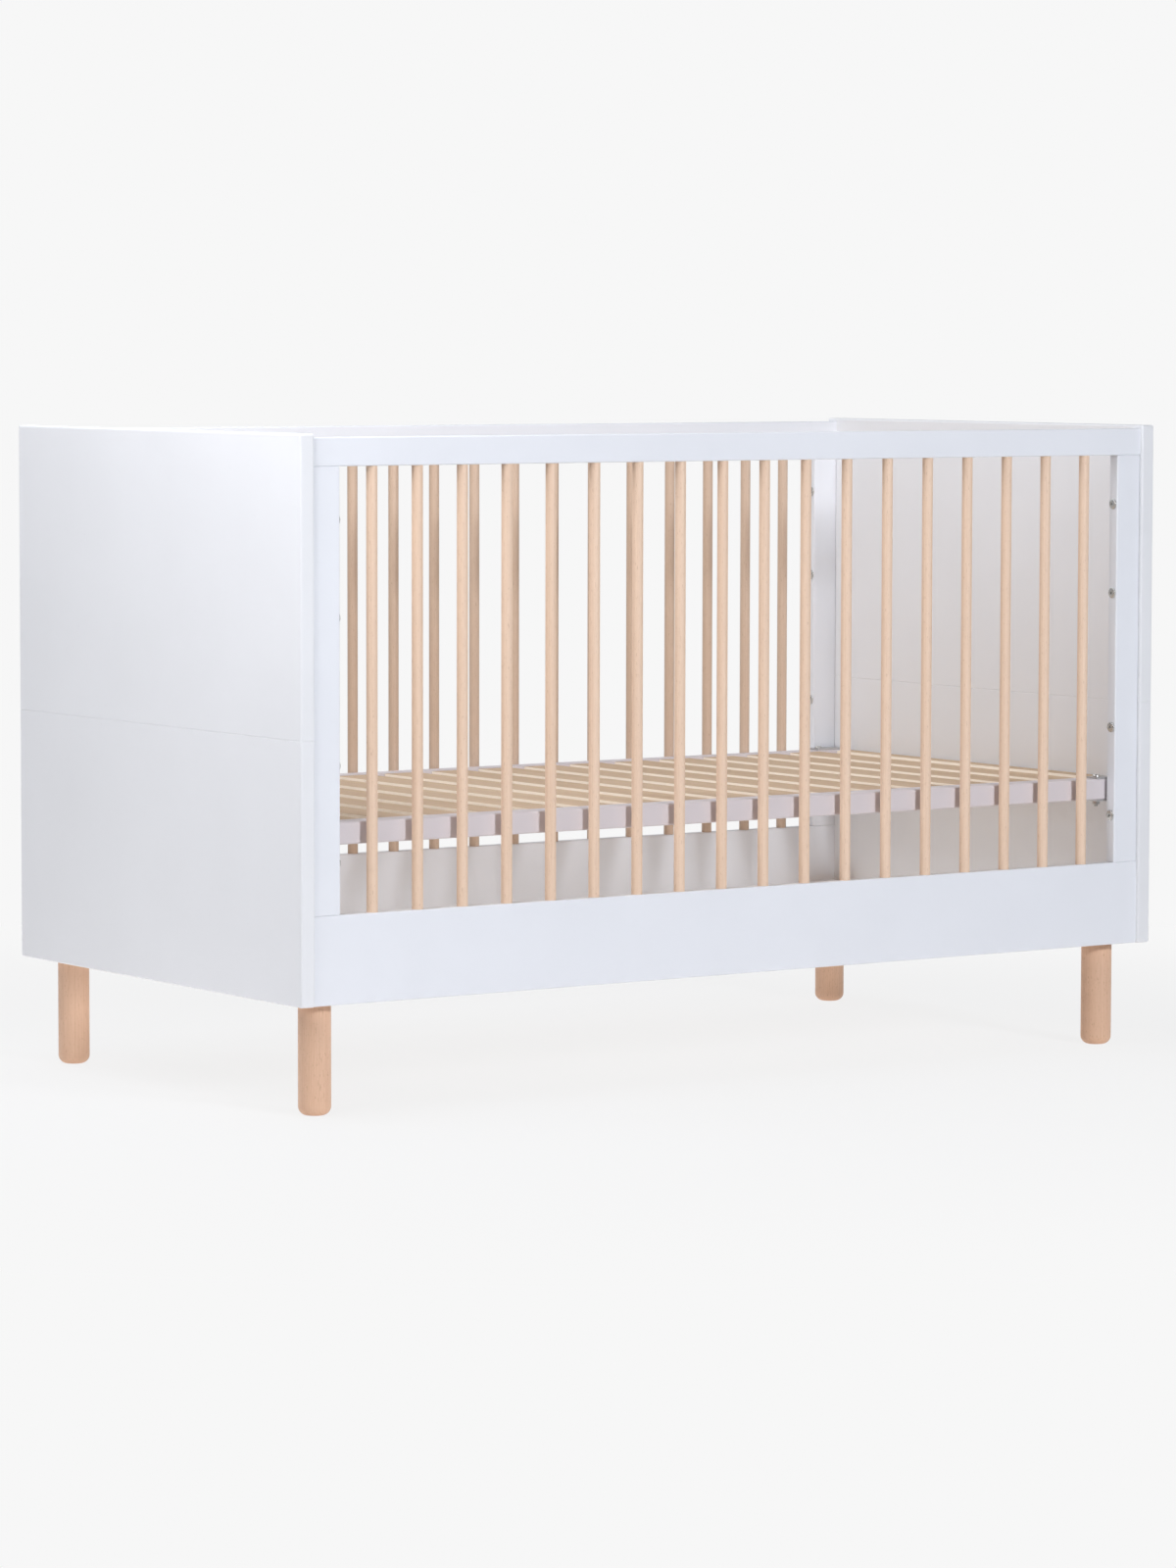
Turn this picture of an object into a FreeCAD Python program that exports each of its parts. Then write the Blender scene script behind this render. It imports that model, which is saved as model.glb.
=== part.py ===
"""Baby crib for a 70 x 140 cm mattress, as a parametric assembly of its separate pieces.

Frame: +Z up, +X along the length, front side at -Y, origin on the floor at the centre of the
footprint. Millimetres. Two solid end panels, each of a lower and an upper board, carry two barred
side frames on bolts. The slatted base hangs on four hook brackets and can be lifted to a higher
row of inserts. Four turned legs screw into hidden corner blocks.
"""
import FreeCAD, Part
import os
import Sketcher
from FreeCAD import Placement, Rotation, Vector

doc = FreeCAD.newDocument("BabyCrib")
sheet = doc.addObject("Spreadsheet::Sheet", "Sizes")

DRIVING_SIZES = {
    # overall
    "overall_length": 1450,
    "overall_width": 748,
    # legs
    "leg_height": 150,
    "leg_diameter": 44,
    "leg_inset": 54,            # leg centre from the outer faces of the crib
    "leg_rounding": 12,
    # end panels
    "panel_thickness": 22,
    "lower_board_height": 350,
    "upper_board_height": 400,
    "panel_rounding": 3,
    "seam_break": 0.8,          # chamfer along the joint of the two boards
    # side frames
    "side_recess": 5,           # side face behind the end panels' front edges
    "side_drop": 5,             # side top below the end panels' top
    "bar_wall": 1.5,            # wood beside a bar in the rails, which are bar and two walls thick
    "side_rounding": 2,
    "joint_break": 0.8,         # chamfer round a stile's ends, where it meets the rails
    "top_rail_height": 38,
    "bottom_rail_height": 119,
    "stile_width": 42,
    "bar_count": 18,
    "bar_end_gap": 47.5,        # clear room between a stile and the first bar
    "bar_diameter": 15,
    "bar_depth": 12,            # bar end inside each rail
    "bore_clearance": 0.2,      # bore wider than the bar, dowel or screw in it
    # slatted base
    "base_level": 209,          # underside of the base above the panels' bottom edge
    "level_step": 172,          # height between two rows of level inserts
    "base_rail_height": 30,
    "base_rail_width": 45,
    "base_end_width": 30,
    "base_side_gap": 4,
    "base_end_gap": 3,
    "base_rounding": 3,
    "slat_count": 16,
    "slat_width": 58,
    "slat_thickness": 12,
    "slat_drop": 1,             # slat top below the rail top
    "slat_seat": 12,            # width of the rebate that carries the slat ends
    "slat_clearance": 0.5,
    "slat_rounding": 1.5,
    # hook brackets of the base
    "bracket_thickness": 2.5,
    "bracket_length": 55,
    "bracket_width": 26,
    "bracket_inset": 1,         # bracket edge behind the rail's outer face
    "bracket_bolt_inset": 9,    # clamp bolt from the flange's free end
    "hook_slot": 6.6,
    "head_passage": 14,
    # M6 hardware
    "bolt_diameter": 6,
    "bolt_head_diameter": 15,
    "bolt_head_height": 2.4,
    "socket_width": 4,
    "insert_diameter": 10,
    "insert_length": 14,
    "low_bolt_row": 187,        # lowest side bolt above the panels' bottom edge
    "high_bolt_row": 159,       # lower bolt of the upper pair above the boards' joint
    "bolt_row_step": 128,
    "screw_head_diameter": 11,
    "screw_head_height": 3.3,
    "nut_width": 10,
    "nut_height": 5,
    "bolt_tip": 3,              # clamp bolt showing below its nut
    "head_clearance": 1,        # room for the level screw's head in the rail
    "head_play": 0.3,           # level screw's head off the bracket's web
    "thread_relief": 1,         # thread end short of its insert's back
    # corner blocks, dowels and wood screws
    "block_height": 32,
    "leg_bolt_diameter": 8,
    "leg_bolt_length": 50,
    "leg_insert_diameter": 11,
    "dowel_diameter": 8,
    "dowel_length": 36,
    "dowel_play": 1,            # free length at the end of each dowel hole
    "seam_dowel_spacing": 270,
    "rail_dowel_spacing": 22,
    "base_dowel_spacing": 14,
    "wood_screw_diameter": 4,
    "wood_screw_head": 8,
    "wood_screw_grip": 14,      # screw length inside the board behind the block
    "wood_screw_spacing": 30,
}

for row, (alias, value) in enumerate(DRIVING_SIZES.items(), start=1):
    sheet.set(f"A{row}", alias)
    sheet.set(f"B{row}", str(value))
    sheet.setAlias(f"B{row}", alias)
doc.recompute()

# Derived positions, as expressions of the driving sizes. Left and front are negative.
S = "Sizes."
SIDE_THICKNESS = f"({S}bar_diameter + 2 * {S}bar_wall)"
END_OUT = f"({S}overall_length / 2)"
END_IN = f"({END_OUT} - {S}panel_thickness)"
SIDE_OUT = f"({S}overall_width / 2 - {S}side_recess)"
SIDE_MID = f"({SIDE_OUT} - {SIDE_THICKNESS} / 2)"
SIDE_IN = f"({SIDE_OUT} - {SIDE_THICKNESS})"
BOTTOM = f"{S}leg_height"
SEAM = f"({BOTTOM} + {S}lower_board_height)"
PANEL_TOP = f"({SEAM} + {S}upper_board_height)"
RAIL_TOP = f"({PANEL_TOP} - {S}side_drop)"
OPENING_TOP = f"({RAIL_TOP} - {S}top_rail_height)"
OPENING_BOTTOM = f"({BOTTOM} + {S}bottom_rail_height)"
STILE_IN = f"({END_IN} - {S}stile_width)"
LAST_BAR = f"({STILE_IN} - {S}bar_end_gap - {S}bar_diameter / 2)"
BAR_PITCH = f"(2 * {LAST_BAR} / ({S}bar_count - 1))"
BASE_END = f"({END_IN} - {S}base_end_gap)"
BASE_SIDE = f"({SIDE_IN} - {S}base_side_gap)"
BASE_BOTTOM = f"({BOTTOM} + {S}base_level)"
BASE_TOP = f"({BASE_BOTTOM} + {S}base_rail_height)"
BASE_INNER_SIDE = f"({BASE_SIDE} - {S}base_rail_width)"
SLAT_ROOM = f"(2 * ({BASE_END} - {S}base_end_width))"
SLAT_GAP = f"(({SLAT_ROOM} - {S}slat_count * {S}slat_width) / ({S}slat_count + 1))"
SLAT_PITCH = f"({S}slat_width + {SLAT_GAP})"
SLAT_TOP = f"({BASE_TOP} - {S}slat_drop)"
BRACKET_OUT = f"({BASE_SIDE} - {S}bracket_inset)"
BRACKET_MID = f"({BRACKET_OUT} - {S}bracket_width / 2)"
BRACKET_TIP = f"({BASE_END} + {S}bracket_thickness - {S}bracket_length)"
BRACKET_BOLT = f"({BRACKET_TIP} + {S}bracket_bolt_inset)"
LEVEL = f"({BASE_BOTTOM} + {S}base_rail_height / 2)"
LEG_X = f"({END_OUT} - {S}leg_inset)"
LEG_Y = f"({S}overall_width / 2 - {S}leg_inset)"
BLOCK_TOP = f"({BOTTOM} + {S}block_height)"
BLOCK_MID = f"({BOTTOM} + {S}block_height / 2)"
BLOCK_X = f"(2 * {LEG_X} - {END_IN})"
BLOCK_Y = f"(2 * {LEG_Y} - {SIDE_IN})"
BORE = f"({S}bolt_diameter + {S}bore_clearance)"
INSERT_BORE = f"({S}insert_diameter + {S}bore_clearance)"
LEG_BOLT_BORE = f"({S}leg_bolt_diameter + {S}bore_clearance)"
WOOD_SCREW_BORE = f"({S}wood_screw_diameter + {S}bore_clearance)"
DOWEL_BORE = f"({S}dowel_diameter + {S}bore_clearance)"
DOWEL_HOLE = f"({S}dowel_length / 2 + {S}dowel_play)"
BOLT_ROWS = [
    f"({BOTTOM} + {S}low_bolt_row)",
    f"({BOTTOM} + {S}low_bolt_row + {S}bolt_row_step)",
    f"({SEAM} + {S}high_bolt_row)",
    f"({SEAM} + {S}high_bolt_row + {S}bolt_row_step)",
]
LEVEL_ROWS = [f"({LEVEL} - {S}level_step)", LEVEL, f"({LEVEL} + {S}level_step)"]
SCREW_TIP = f"({END_IN} + {S}insert_length - {S}thread_relief)"

CROWN = "0.72"          # width of a screw head's crown, as a share of the head
SOCKET_DEPTH = "0.7"    # depth of its socket, as a share of the head's height
SCREW_TAPER = "0.6"     # width of a wood screw's cap, as a share of its head
OVERCUT = "1"           # how far a cutting shape passes beyond the face it opens

HALF_TURN = Placement(Vector(), Rotation(Vector(0, 0, 1), 180))
AXIS_TURN = {
    "X": Rotation(Vector(0, 1, 0), 90),
    "Y": Rotation(Vector(1, 0, 0), -90),
    "Z": Rotation(),
}
ENDS = {"left": "-1", "right": "1"}
SIDES = {"front": "-1", "back": "1"}
nodes = []


def value_of(expression):
    """The number that an expression of the driving sizes gives now."""
    return float(sheet.evalExpression(expression.replace(S, "")))


# ---------------------------------------------------------------- PartDesign helpers

def origin_plane(body, role):
    return next(f for f in body.Origin.OriginFeatures if f.Role == role)


def new_body(label):
    body = doc.addObject("PartDesign::Body", label)
    body.Label = label
    nodes.append(body)
    return body


def new_sketch(body, role, offset):
    """A sketch on one of the body's origin planes, moved along the plane's normal."""
    sketch = body.newObject("Sketcher::SketchObject", f"{body.Name}_sketch")
    sketch.AttachmentSupport = [(origin_plane(body, role), "")]
    sketch.MapMode = "FlatFace"
    sketch.setExpression("AttachmentOffset.Base.z", offset)
    return sketch


def hold(sketch, name, constraint, expression):
    index = sketch.addConstraint(constraint)
    sketch.renameConstraint(index, name)
    sketch.setExpression(f"Constraints.{name}", expression)


def add_rectangle(sketch, low, high):
    """A rectangle between two corners given as pairs of expressions, held from the origin."""
    x0, y0 = (value_of(e) for e in low)
    x1, y1 = (value_of(e) for e in high)
    corners = [Vector(x0, y0), Vector(x1, y0), Vector(x1, y1), Vector(x0, y1)]
    first = sketch.GeometryCount
    for start, end in zip(corners, corners[1:] + corners[:1]):
        sketch.addGeometry(Part.LineSegment(start, end))
    for side in range(4):
        following = first + (side + 1) % 4
        sketch.addConstraint(Sketcher.Constraint("Coincident", first + side, 2, following, 1))
        kind = "Horizontal" if side % 2 == 0 else "Vertical"
        sketch.addConstraint(Sketcher.Constraint(kind, first + side))
    tag = f"r{first}"
    hold(sketch, f"{tag}x0", Sketcher.Constraint("DistanceX", -1, 1, first, 1, x0), low[0])
    hold(sketch, f"{tag}y0", Sketcher.Constraint("DistanceY", -1, 1, first, 1, y0), low[1])
    hold(sketch, f"{tag}x1", Sketcher.Constraint("DistanceX", -1, 1, first + 1, 2, x1), high[0])
    hold(sketch, f"{tag}y1", Sketcher.Constraint("DistanceY", -1, 1, first + 1, 2, y1), high[1])


def add_circle(sketch, centre, diameter):
    x, y = (value_of(e) for e in centre)
    index = sketch.GeometryCount
    sketch.addGeometry(Part.Circle(Vector(x, y), Vector(0, 0, 1), value_of(diameter) / 2))
    tag = f"c{index}"
    hold(sketch, f"{tag}x", Sketcher.Constraint("DistanceX", -1, 1, index, 3, x), centre[0])
    hold(sketch, f"{tag}y", Sketcher.Constraint("DistanceY", -1, 1, index, 3, y), centre[1])
    hold(sketch, f"{tag}d", Sketcher.Constraint("Diameter", index, value_of(diameter)), diameter)


def add_pad(body, sketch, length):
    pad = body.newObject("PartDesign::Pad", f"{body.Name}_pad")
    pad.Profile = sketch
    pad.setExpression("Length", length)
    sketch.Visibility = False
    doc.recompute()
    return pad


def add_pocket(body, sketch, length, reverse=False):
    """Cut along the sketch's negative normal, or along its normal when reversed."""
    before = body.Shape.Volume
    pocket = body.newObject("PartDesign::Pocket", f"{body.Name}_pocket")
    pocket.Profile = sketch
    pocket.Reversed = reverse
    pocket.setExpression("Length", length)
    doc.recompute()
    if body.Shape.Volume > before - 1:
        raise RuntimeError(f"{body.Label}: a pocket cut nothing")
    return pocket


def add_row(body, feature, count, pitch):
    """Repeat a feature along the body's X axis."""
    row = body.newObject("PartDesign::LinearPattern", f"{body.Name}_row")
    row.Originals = [feature]
    row.Direction = (origin_plane(body, "X_Axis"), [""])
    row.setExpression("Length", f"({count} - 1) * {pitch}")
    row.setExpression("Occurrences", count)
    body.Tip = row
    doc.recompute()
    return row


def edge_names(feature, wanted):
    """Names of the feature's edges whose bounding box passes the test."""
    names = []
    for index, edge in enumerate(feature.Shape.Edges, start=1):
        if wanted(edge.BoundBox):
            names.append(f"Edge{index}")
    return names


def add_fillet(body, feature, radius, wanted):
    fillet = body.newObject("PartDesign::Fillet", f"{body.Name}_fillet")
    fillet.Base = (feature, edge_names(feature, wanted))
    fillet.setExpression("Radius", radius)
    doc.recompute()
    return fillet


def add_chamfer(body, feature, size, wanted):
    chamfer = body.newObject("PartDesign::Chamfer", f"{body.Name}_chamfer")
    chamfer.Base = (feature, edge_names(feature, wanted))
    chamfer.setExpression("Size", size)
    doc.recompute()
    return chamfer


def along(axis):
    """Test for edges that run along one axis."""
    across = [a for a in "XYZ" if a != axis]
    return lambda box: all(getattr(box, f"{a}Length") < 0.01 for a in across)


def level_with(height):
    """Test for edges that lie flat at one height."""
    return lambda box: abs(box.ZMin - height) < 0.01 and abs(box.ZMax - height) < 0.01


def block_body(label, low, high):
    """A body with a rectangular pad between two corners of three expressions."""
    body = new_body(label)
    sketch = new_sketch(body, "XY_Plane", low[2])
    add_rectangle(sketch, low[:2], high[:2])
    return body, add_pad(body, sketch, f"({high[2]}) - ({low[2]})")


# ---------------------------------------------------------------- primitive helpers

def add_primitive(kind, name, axis, centre, span):
    """A primitive along X, Y or Z between two stations, its centre on the other two axes."""
    piece = doc.addObject(kind, name)
    piece.Placement = Placement(Vector(), AXIS_TURN[axis])
    start, end = span
    piece.setExpression("Height", f"({end}) - ({start})")
    across = iter(centre)
    for letter in "XYZ":
        piece.setExpression(f"Placement.Base.{letter.lower()}", start if letter == axis else next(across))
    return piece


def add_cylinder(name, axis, centre, span, diameter):
    cylinder = add_primitive("Part::Cylinder", name, axis, centre, span)
    cylinder.setExpression("Radius", f"({diameter}) / 2")
    return cylinder


def add_cone(name, axis, centre, span, diameters):
    cone = add_primitive("Part::Cone", name, axis, centre, span)
    cone.setExpression("Radius1", f"({diameters[0]}) / 2")
    cone.setExpression("Radius2", f"({diameters[1]}) / 2")
    return cone


def add_hexagon(name, axis, centre, span, width):
    """A six-sided prism, its size given across the flats."""
    prism = add_primitive("Part::Prism", name, axis, centre, span)
    prism.Polygon = 6
    prism.setExpression("Circumradius", f"({width}) / sqrt(3)")
    return prism


def rising(first, second, sign):
    """Two values in the order in which they come along an axis, when sign leads from first."""
    return (first, second) if sign == "1" else (second, first)


def centred(middle, length):
    return f"({middle} - {length} / 2)", f"({middle} + {length} / 2)"


def fused(name, pieces):
    union = doc.addObject("Part::MultiFuse", name)
    union.Shapes = pieces
    return union


def cut(name, base, tool):
    result = doc.addObject("Part::Cut", name)
    result.Base = base
    result.Tool = tool
    return result


def grouped(label, pieces):
    """Identical pieces as one node of separate solids."""
    group = doc.addObject("Part::Compound", label)
    group.Label = label
    group.Links = pieces
    nodes.append(group)
    return group


# ---------------------------------------------------------------- end panels

def end_board(label, low, high, seam, turned):
    """One board of an end panel, with the insert bores in its inner face."""
    half_width = f"({S}overall_width / 2)"
    corner = (f"-{END_OUT}", f"-{half_width}", low)
    body, pad = block_body(label, corner, (f"-{END_IN}", half_width, high))
    joint = value_of(seam)
    outer = add_fillet(body, pad, f"{S}panel_rounding", lambda box: not level_with(joint)(box))
    add_chamfer(body, outer, f"{S}seam_break", level_with(joint))

    inner_face = new_sketch(body, "YZ_Plane", f"-{END_IN}")
    bottom, top = value_of(low), value_of(high)
    for y in (SIDE_MID, BRACKET_MID):
        for z in BOLT_ROWS if y == SIDE_MID else LEVEL_ROWS:
            if bottom < value_of(z) < top:
                for sign in SIDES.values():
                    add_circle(inner_face, (f"{sign} * {y}", z), INSERT_BORE)
    add_pocket(body, inner_face, f"({S}insert_length + {S}dowel_play)")

    seam_face = new_sketch(body, "XY_Plane", seam)
    for step in ("-1", "0", "1"):
        centre = (f"-({END_IN} + {S}panel_thickness / 2)", f"{step} * {S}seam_dowel_spacing")
        add_circle(seam_face, centre, DOWEL_BORE)
    add_pocket(body, seam_face, DOWEL_HOLE, reverse=seam == low)

    if seam == high:
        add_block_screw_bores(body, "YZ_Plane", f"-{END_IN}", LEG_Y, f"{S}wood_screw_grip")
    if turned:
        body.Placement = HALF_TURN


def add_block_screw_bores(body, role, face, centre, depth, reverse=False):
    """Pilot bores for the two screws that come out of each corner block."""
    sketch = new_sketch(body, role, face)
    for sign in ("-1", "1"):
        for step in ("-1", "1"):
            across = f"{sign} * ({centre} + {step} * {S}wood_screw_spacing / 2)"
            add_circle(sketch, (across, BLOCK_MID), WOOD_SCREW_BORE)
    add_pocket(body, sketch, f"({depth} + {S}dowel_play)", reverse)


def build_end_panels():
    for end, turned in (("left", False), ("right", True)):
        end_board(f"{end}_end_lower_board", BOTTOM, SEAM, SEAM, turned)
        end_board(f"{end}_end_upper_board", SEAM, PANEL_TOP, SEAM, turned)
    dowels = []
    for end, sign in ENDS.items():
        for step in ("-1", "0", "1"):
            centre = (f"{sign} * ({END_IN} + {S}panel_thickness / 2)", f"{step} * {S}seam_dowel_spacing")
            span = centred(SEAM, f"{S}dowel_length")
            dowels.append(add_cylinder("seam_dowel", "Z", centre, span, f"{S}dowel_diameter"))
    grouped("seam_dowels", dowels)


# ---------------------------------------------------------------- side frames

def side_rail(label, low, high, bar_face, turned):
    """A rail of a side frame with a row of bar bores, and the stile dowel bores, in one face."""
    body, pad = block_body(label, (f"-{END_IN}", f"-{SIDE_OUT}", low), (END_IN, f"-{SIDE_IN}", high))
    add_fillet(body, pad, f"{S}side_rounding", along("X"))
    upward = bar_face == low

    bores = new_sketch(body, "XY_Plane", bar_face)
    add_circle(bores, (f"-{LAST_BAR}", f"-{SIDE_MID}"), f"({S}bar_diameter + {S}bore_clearance)")
    bore = add_pocket(body, bores, f"{S}bar_depth", upward)
    add_row(body, bore, f"{S}bar_count", BAR_PITCH)

    stile_bores = new_sketch(body, "XY_Plane", bar_face)
    for centre in stile_dowel_centres():
        add_circle(stile_bores, centre, DOWEL_BORE)
    add_pocket(body, stile_bores, DOWEL_HOLE, upward)

    if not upward:
        add_block_screw_bores(body, "XZ_Plane", SIDE_IN, LEG_X, f"({SIDE_THICKNESS} / 2)", True)
    if turned:
        body.Placement = HALF_TURN


def stile_dowel_centres():
    """Dowel centres of both stiles of the front frame."""
    centres = []
    for sign in ("-1", "1"):
        for step in ("-1", "1"):
            x = f"{sign} * ({STILE_IN} + {S}stile_width / 2 + {step} * {S}rail_dowel_spacing / 2)"
            centres.append((x, f"-{SIDE_MID}"))
    return centres


def side_stile(label, left, turned):
    """An upright of a side frame, bored for its bolts and dowels."""
    low_x, high_x = (f"-{END_IN}", f"-{STILE_IN}") if left else (STILE_IN, END_IN)
    low = (low_x, f"-{SIDE_OUT}", OPENING_BOTTOM)
    body, pad = block_body(label, low, (high_x, f"-{SIDE_IN}", OPENING_TOP))
    rounded = add_fillet(body, pad, f"{S}side_rounding", along("Z"))
    at_foot = level_with(value_of(OPENING_BOTTOM))
    at_head = level_with(value_of(OPENING_TOP))
    add_chamfer(body, rounded, f"{S}joint_break", lambda box: at_foot(box) or at_head(box))

    edge = new_sketch(body, "YZ_Plane", low_x)
    for z in BOLT_ROWS:
        add_circle(edge, (f"-{SIDE_MID}", z), BORE)
    add_pocket(body, edge, f"{S}stile_width", True)

    for face, reverse in ((OPENING_BOTTOM, True), (OPENING_TOP, False)):
        ends = new_sketch(body, "XY_Plane", face)
        for x, y in stile_dowel_centres():
            if value_of(low_x) < value_of(x) < value_of(high_x):
                add_circle(ends, (x, y), DOWEL_BORE)
        add_pocket(body, ends, DOWEL_HOLE, reverse)
    if turned:
        body.Placement = HALF_TURN


def build_side_frames():
    for side, turned in (("front", False), ("back", True)):
        side_rail(f"{side}_top_rail", OPENING_TOP, RAIL_TOP, OPENING_TOP, turned)
        side_rail(f"{side}_bottom_rail", BOTTOM, OPENING_BOTTOM, OPENING_BOTTOM, turned)
        side_stile(f"{side}_{'right' if turned else 'left'}_stile", True, turned)
        side_stile(f"{side}_{'left' if turned else 'right'}_stile", False, turned)

    reach = f"({S}bar_depth - {S}bore_clearance)"
    span = (f"({OPENING_BOTTOM} - {reach})", f"({OPENING_TOP} + {reach})")
    for side, sign in SIDES.items():
        bars = []
        for number in range(DRIVING_SIZES["bar_count"]):
            centre = (f"{number} * {BAR_PITCH} - {LAST_BAR}", f"{sign} * {SIDE_MID}")
            bars.append(add_cylinder(f"{side}_bar", "Z", centre, span, f"{S}bar_diameter"))
        grouped(f"{side}_bars", bars)

    dowels = []
    for sign in SIDES.values():
        for x, _ in stile_dowel_centres():
            for face in (OPENING_BOTTOM, OPENING_TOP):
                centre = (x, f"{sign} * {SIDE_MID}")
                span = centred(face, f"{S}dowel_length")
                dowels.append(add_cylinder("rail_dowel", "Z", centre, span, f"{S}dowel_diameter"))
    grouped("side_frame_dowels", dowels)


# ---------------------------------------------------------------- slatted base

def base_rail(label, turned):
    """A long rail: rebated for the slats, and bored and notched at both ends for the brackets."""
    low = (f"-{BASE_END}", f"-{BASE_SIDE}", BASE_BOTTOM)
    body, pad = block_body(label, low, (BASE_END, f"-{BASE_INNER_SIDE}", BASE_TOP))
    outer = -value_of(BASE_SIDE)
    runs_outside = lambda box: along("X")(box) and abs(box.YMin - outer) < 0.01
    add_fillet(body, pad, f"{S}base_rounding", runs_outside)

    rebate = new_sketch(body, "XY_Plane", BASE_TOP)
    reach = f"({BASE_END} - {S}base_end_width)"
    shoulder = f"-({BASE_INNER_SIDE} + {S}slat_seat)"
    add_rectangle(rebate, (f"-{reach}", shoulder), (reach, f"-{BASE_INNER_SIDE} + {OVERCUT}"))
    add_pocket(body, rebate, f"({S}slat_thickness + {S}slat_drop)")

    bolts = new_sketch(body, "XY_Plane", BASE_TOP)
    for sign in ENDS.values():
        add_circle(bolts, (f"{sign} * {BRACKET_BOLT}", f"-{BRACKET_MID}"), BORE)
    add_pocket(body, bolts, f"{S}base_rail_height")

    # room for the level screw's head, open downwards so that the base lifts off it
    passage = new_sketch(body, "XZ_Plane", f"({BRACKET_MID} + {S}head_passage / 2)")
    roof = f"({LEVEL} + {S}head_passage / 2)"
    for sign in ENDS.values():
        outside = f"{sign} * ({BASE_END} + {OVERCUT})"
        inside = f"{sign} * ({BASE_END} - {S}screw_head_height - {S}head_clearance)"
        near, far = rising(inside, outside, sign)
        add_rectangle(passage, (near, f"{BASE_BOTTOM} - {OVERCUT}"), (far, roof))
    add_pocket(body, passage, f"{S}head_passage")

    joints = new_sketch(body, "XZ_Plane", BASE_INNER_SIDE)
    for x, z in end_rail_dowel_centres():
        add_circle(joints, (x, z), DOWEL_BORE)
    add_pocket(body, joints, DOWEL_HOLE, True)
    if turned:
        body.Placement = HALF_TURN


def end_rail_dowel_centres():
    """Dowel centres of the base's corner joints, seen along Y."""
    middle = f"({BASE_END} - {S}base_end_width / 2)"
    centres = []
    for sign in ("-1", "1"):
        for step in ("-1", "1"):
            centres.append((f"{sign} * ({middle} + {step} * {S}base_dowel_spacing / 2)", LEVEL))
    return centres


def base_end_rail(label, turned):
    inner_x = f"({BASE_END} - {S}base_end_width)"
    low = (f"-{BASE_END}", f"-{BASE_INNER_SIDE}", BASE_BOTTOM)
    body, pad = block_body(label, low, (f"-{inner_x}", BASE_INNER_SIDE, BASE_TOP))
    add_fillet(body, pad, f"({S}base_rounding / 2)", along("Y"))
    for face, reverse in ((f"-{BASE_INNER_SIDE}", False), (BASE_INNER_SIDE, True)):
        # the XZ plane's normal points to -Y, so its offset has the opposite sign
        joints = new_sketch(body, "XZ_Plane", f"-({face})")
        for x, z in end_rail_dowel_centres()[:2]:
            add_circle(joints, (x, z), DOWEL_BORE)
        add_pocket(body, joints, DOWEL_HOLE, reverse)
    if turned:
        body.Placement = HALF_TURN


def build_base_frame():
    for side, turned in (("front", False), ("back", True)):
        base_rail(f"base_{side}_rail", turned)
    for end, turned in (("left", False), ("right", True)):
        base_end_rail(f"base_{end}_rail", turned)

    dowels = []
    for sign in SIDES.values():
        for x, z in end_rail_dowel_centres():
            span = centred(f"{sign} * {BASE_INNER_SIDE}", f"{S}dowel_length")
            dowels.append(add_cylinder("base_dowel", "Y", (x, z), span, f"{S}dowel_diameter"))
    grouped("base_dowels", dowels)


def build_slats():
    reach = f"({BASE_INNER_SIDE} + {S}slat_seat - {S}slat_clearance)"
    first = f"(-{SLAT_ROOM} / 2 + {SLAT_GAP})"
    for number in range(DRIVING_SIZES["slat_count"]):
        x = f"({first} + {number} * {SLAT_PITCH})"
        low = (x, f"-{reach}", f"({SLAT_TOP} - {S}slat_thickness)")
        high = (f"{x} + {S}slat_width", reach, SLAT_TOP)
        body, pad = block_body(f"slat_{number + 1:02d}", low, high)
        add_fillet(body, pad, f"{S}slat_rounding", along("Y"))


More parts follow.
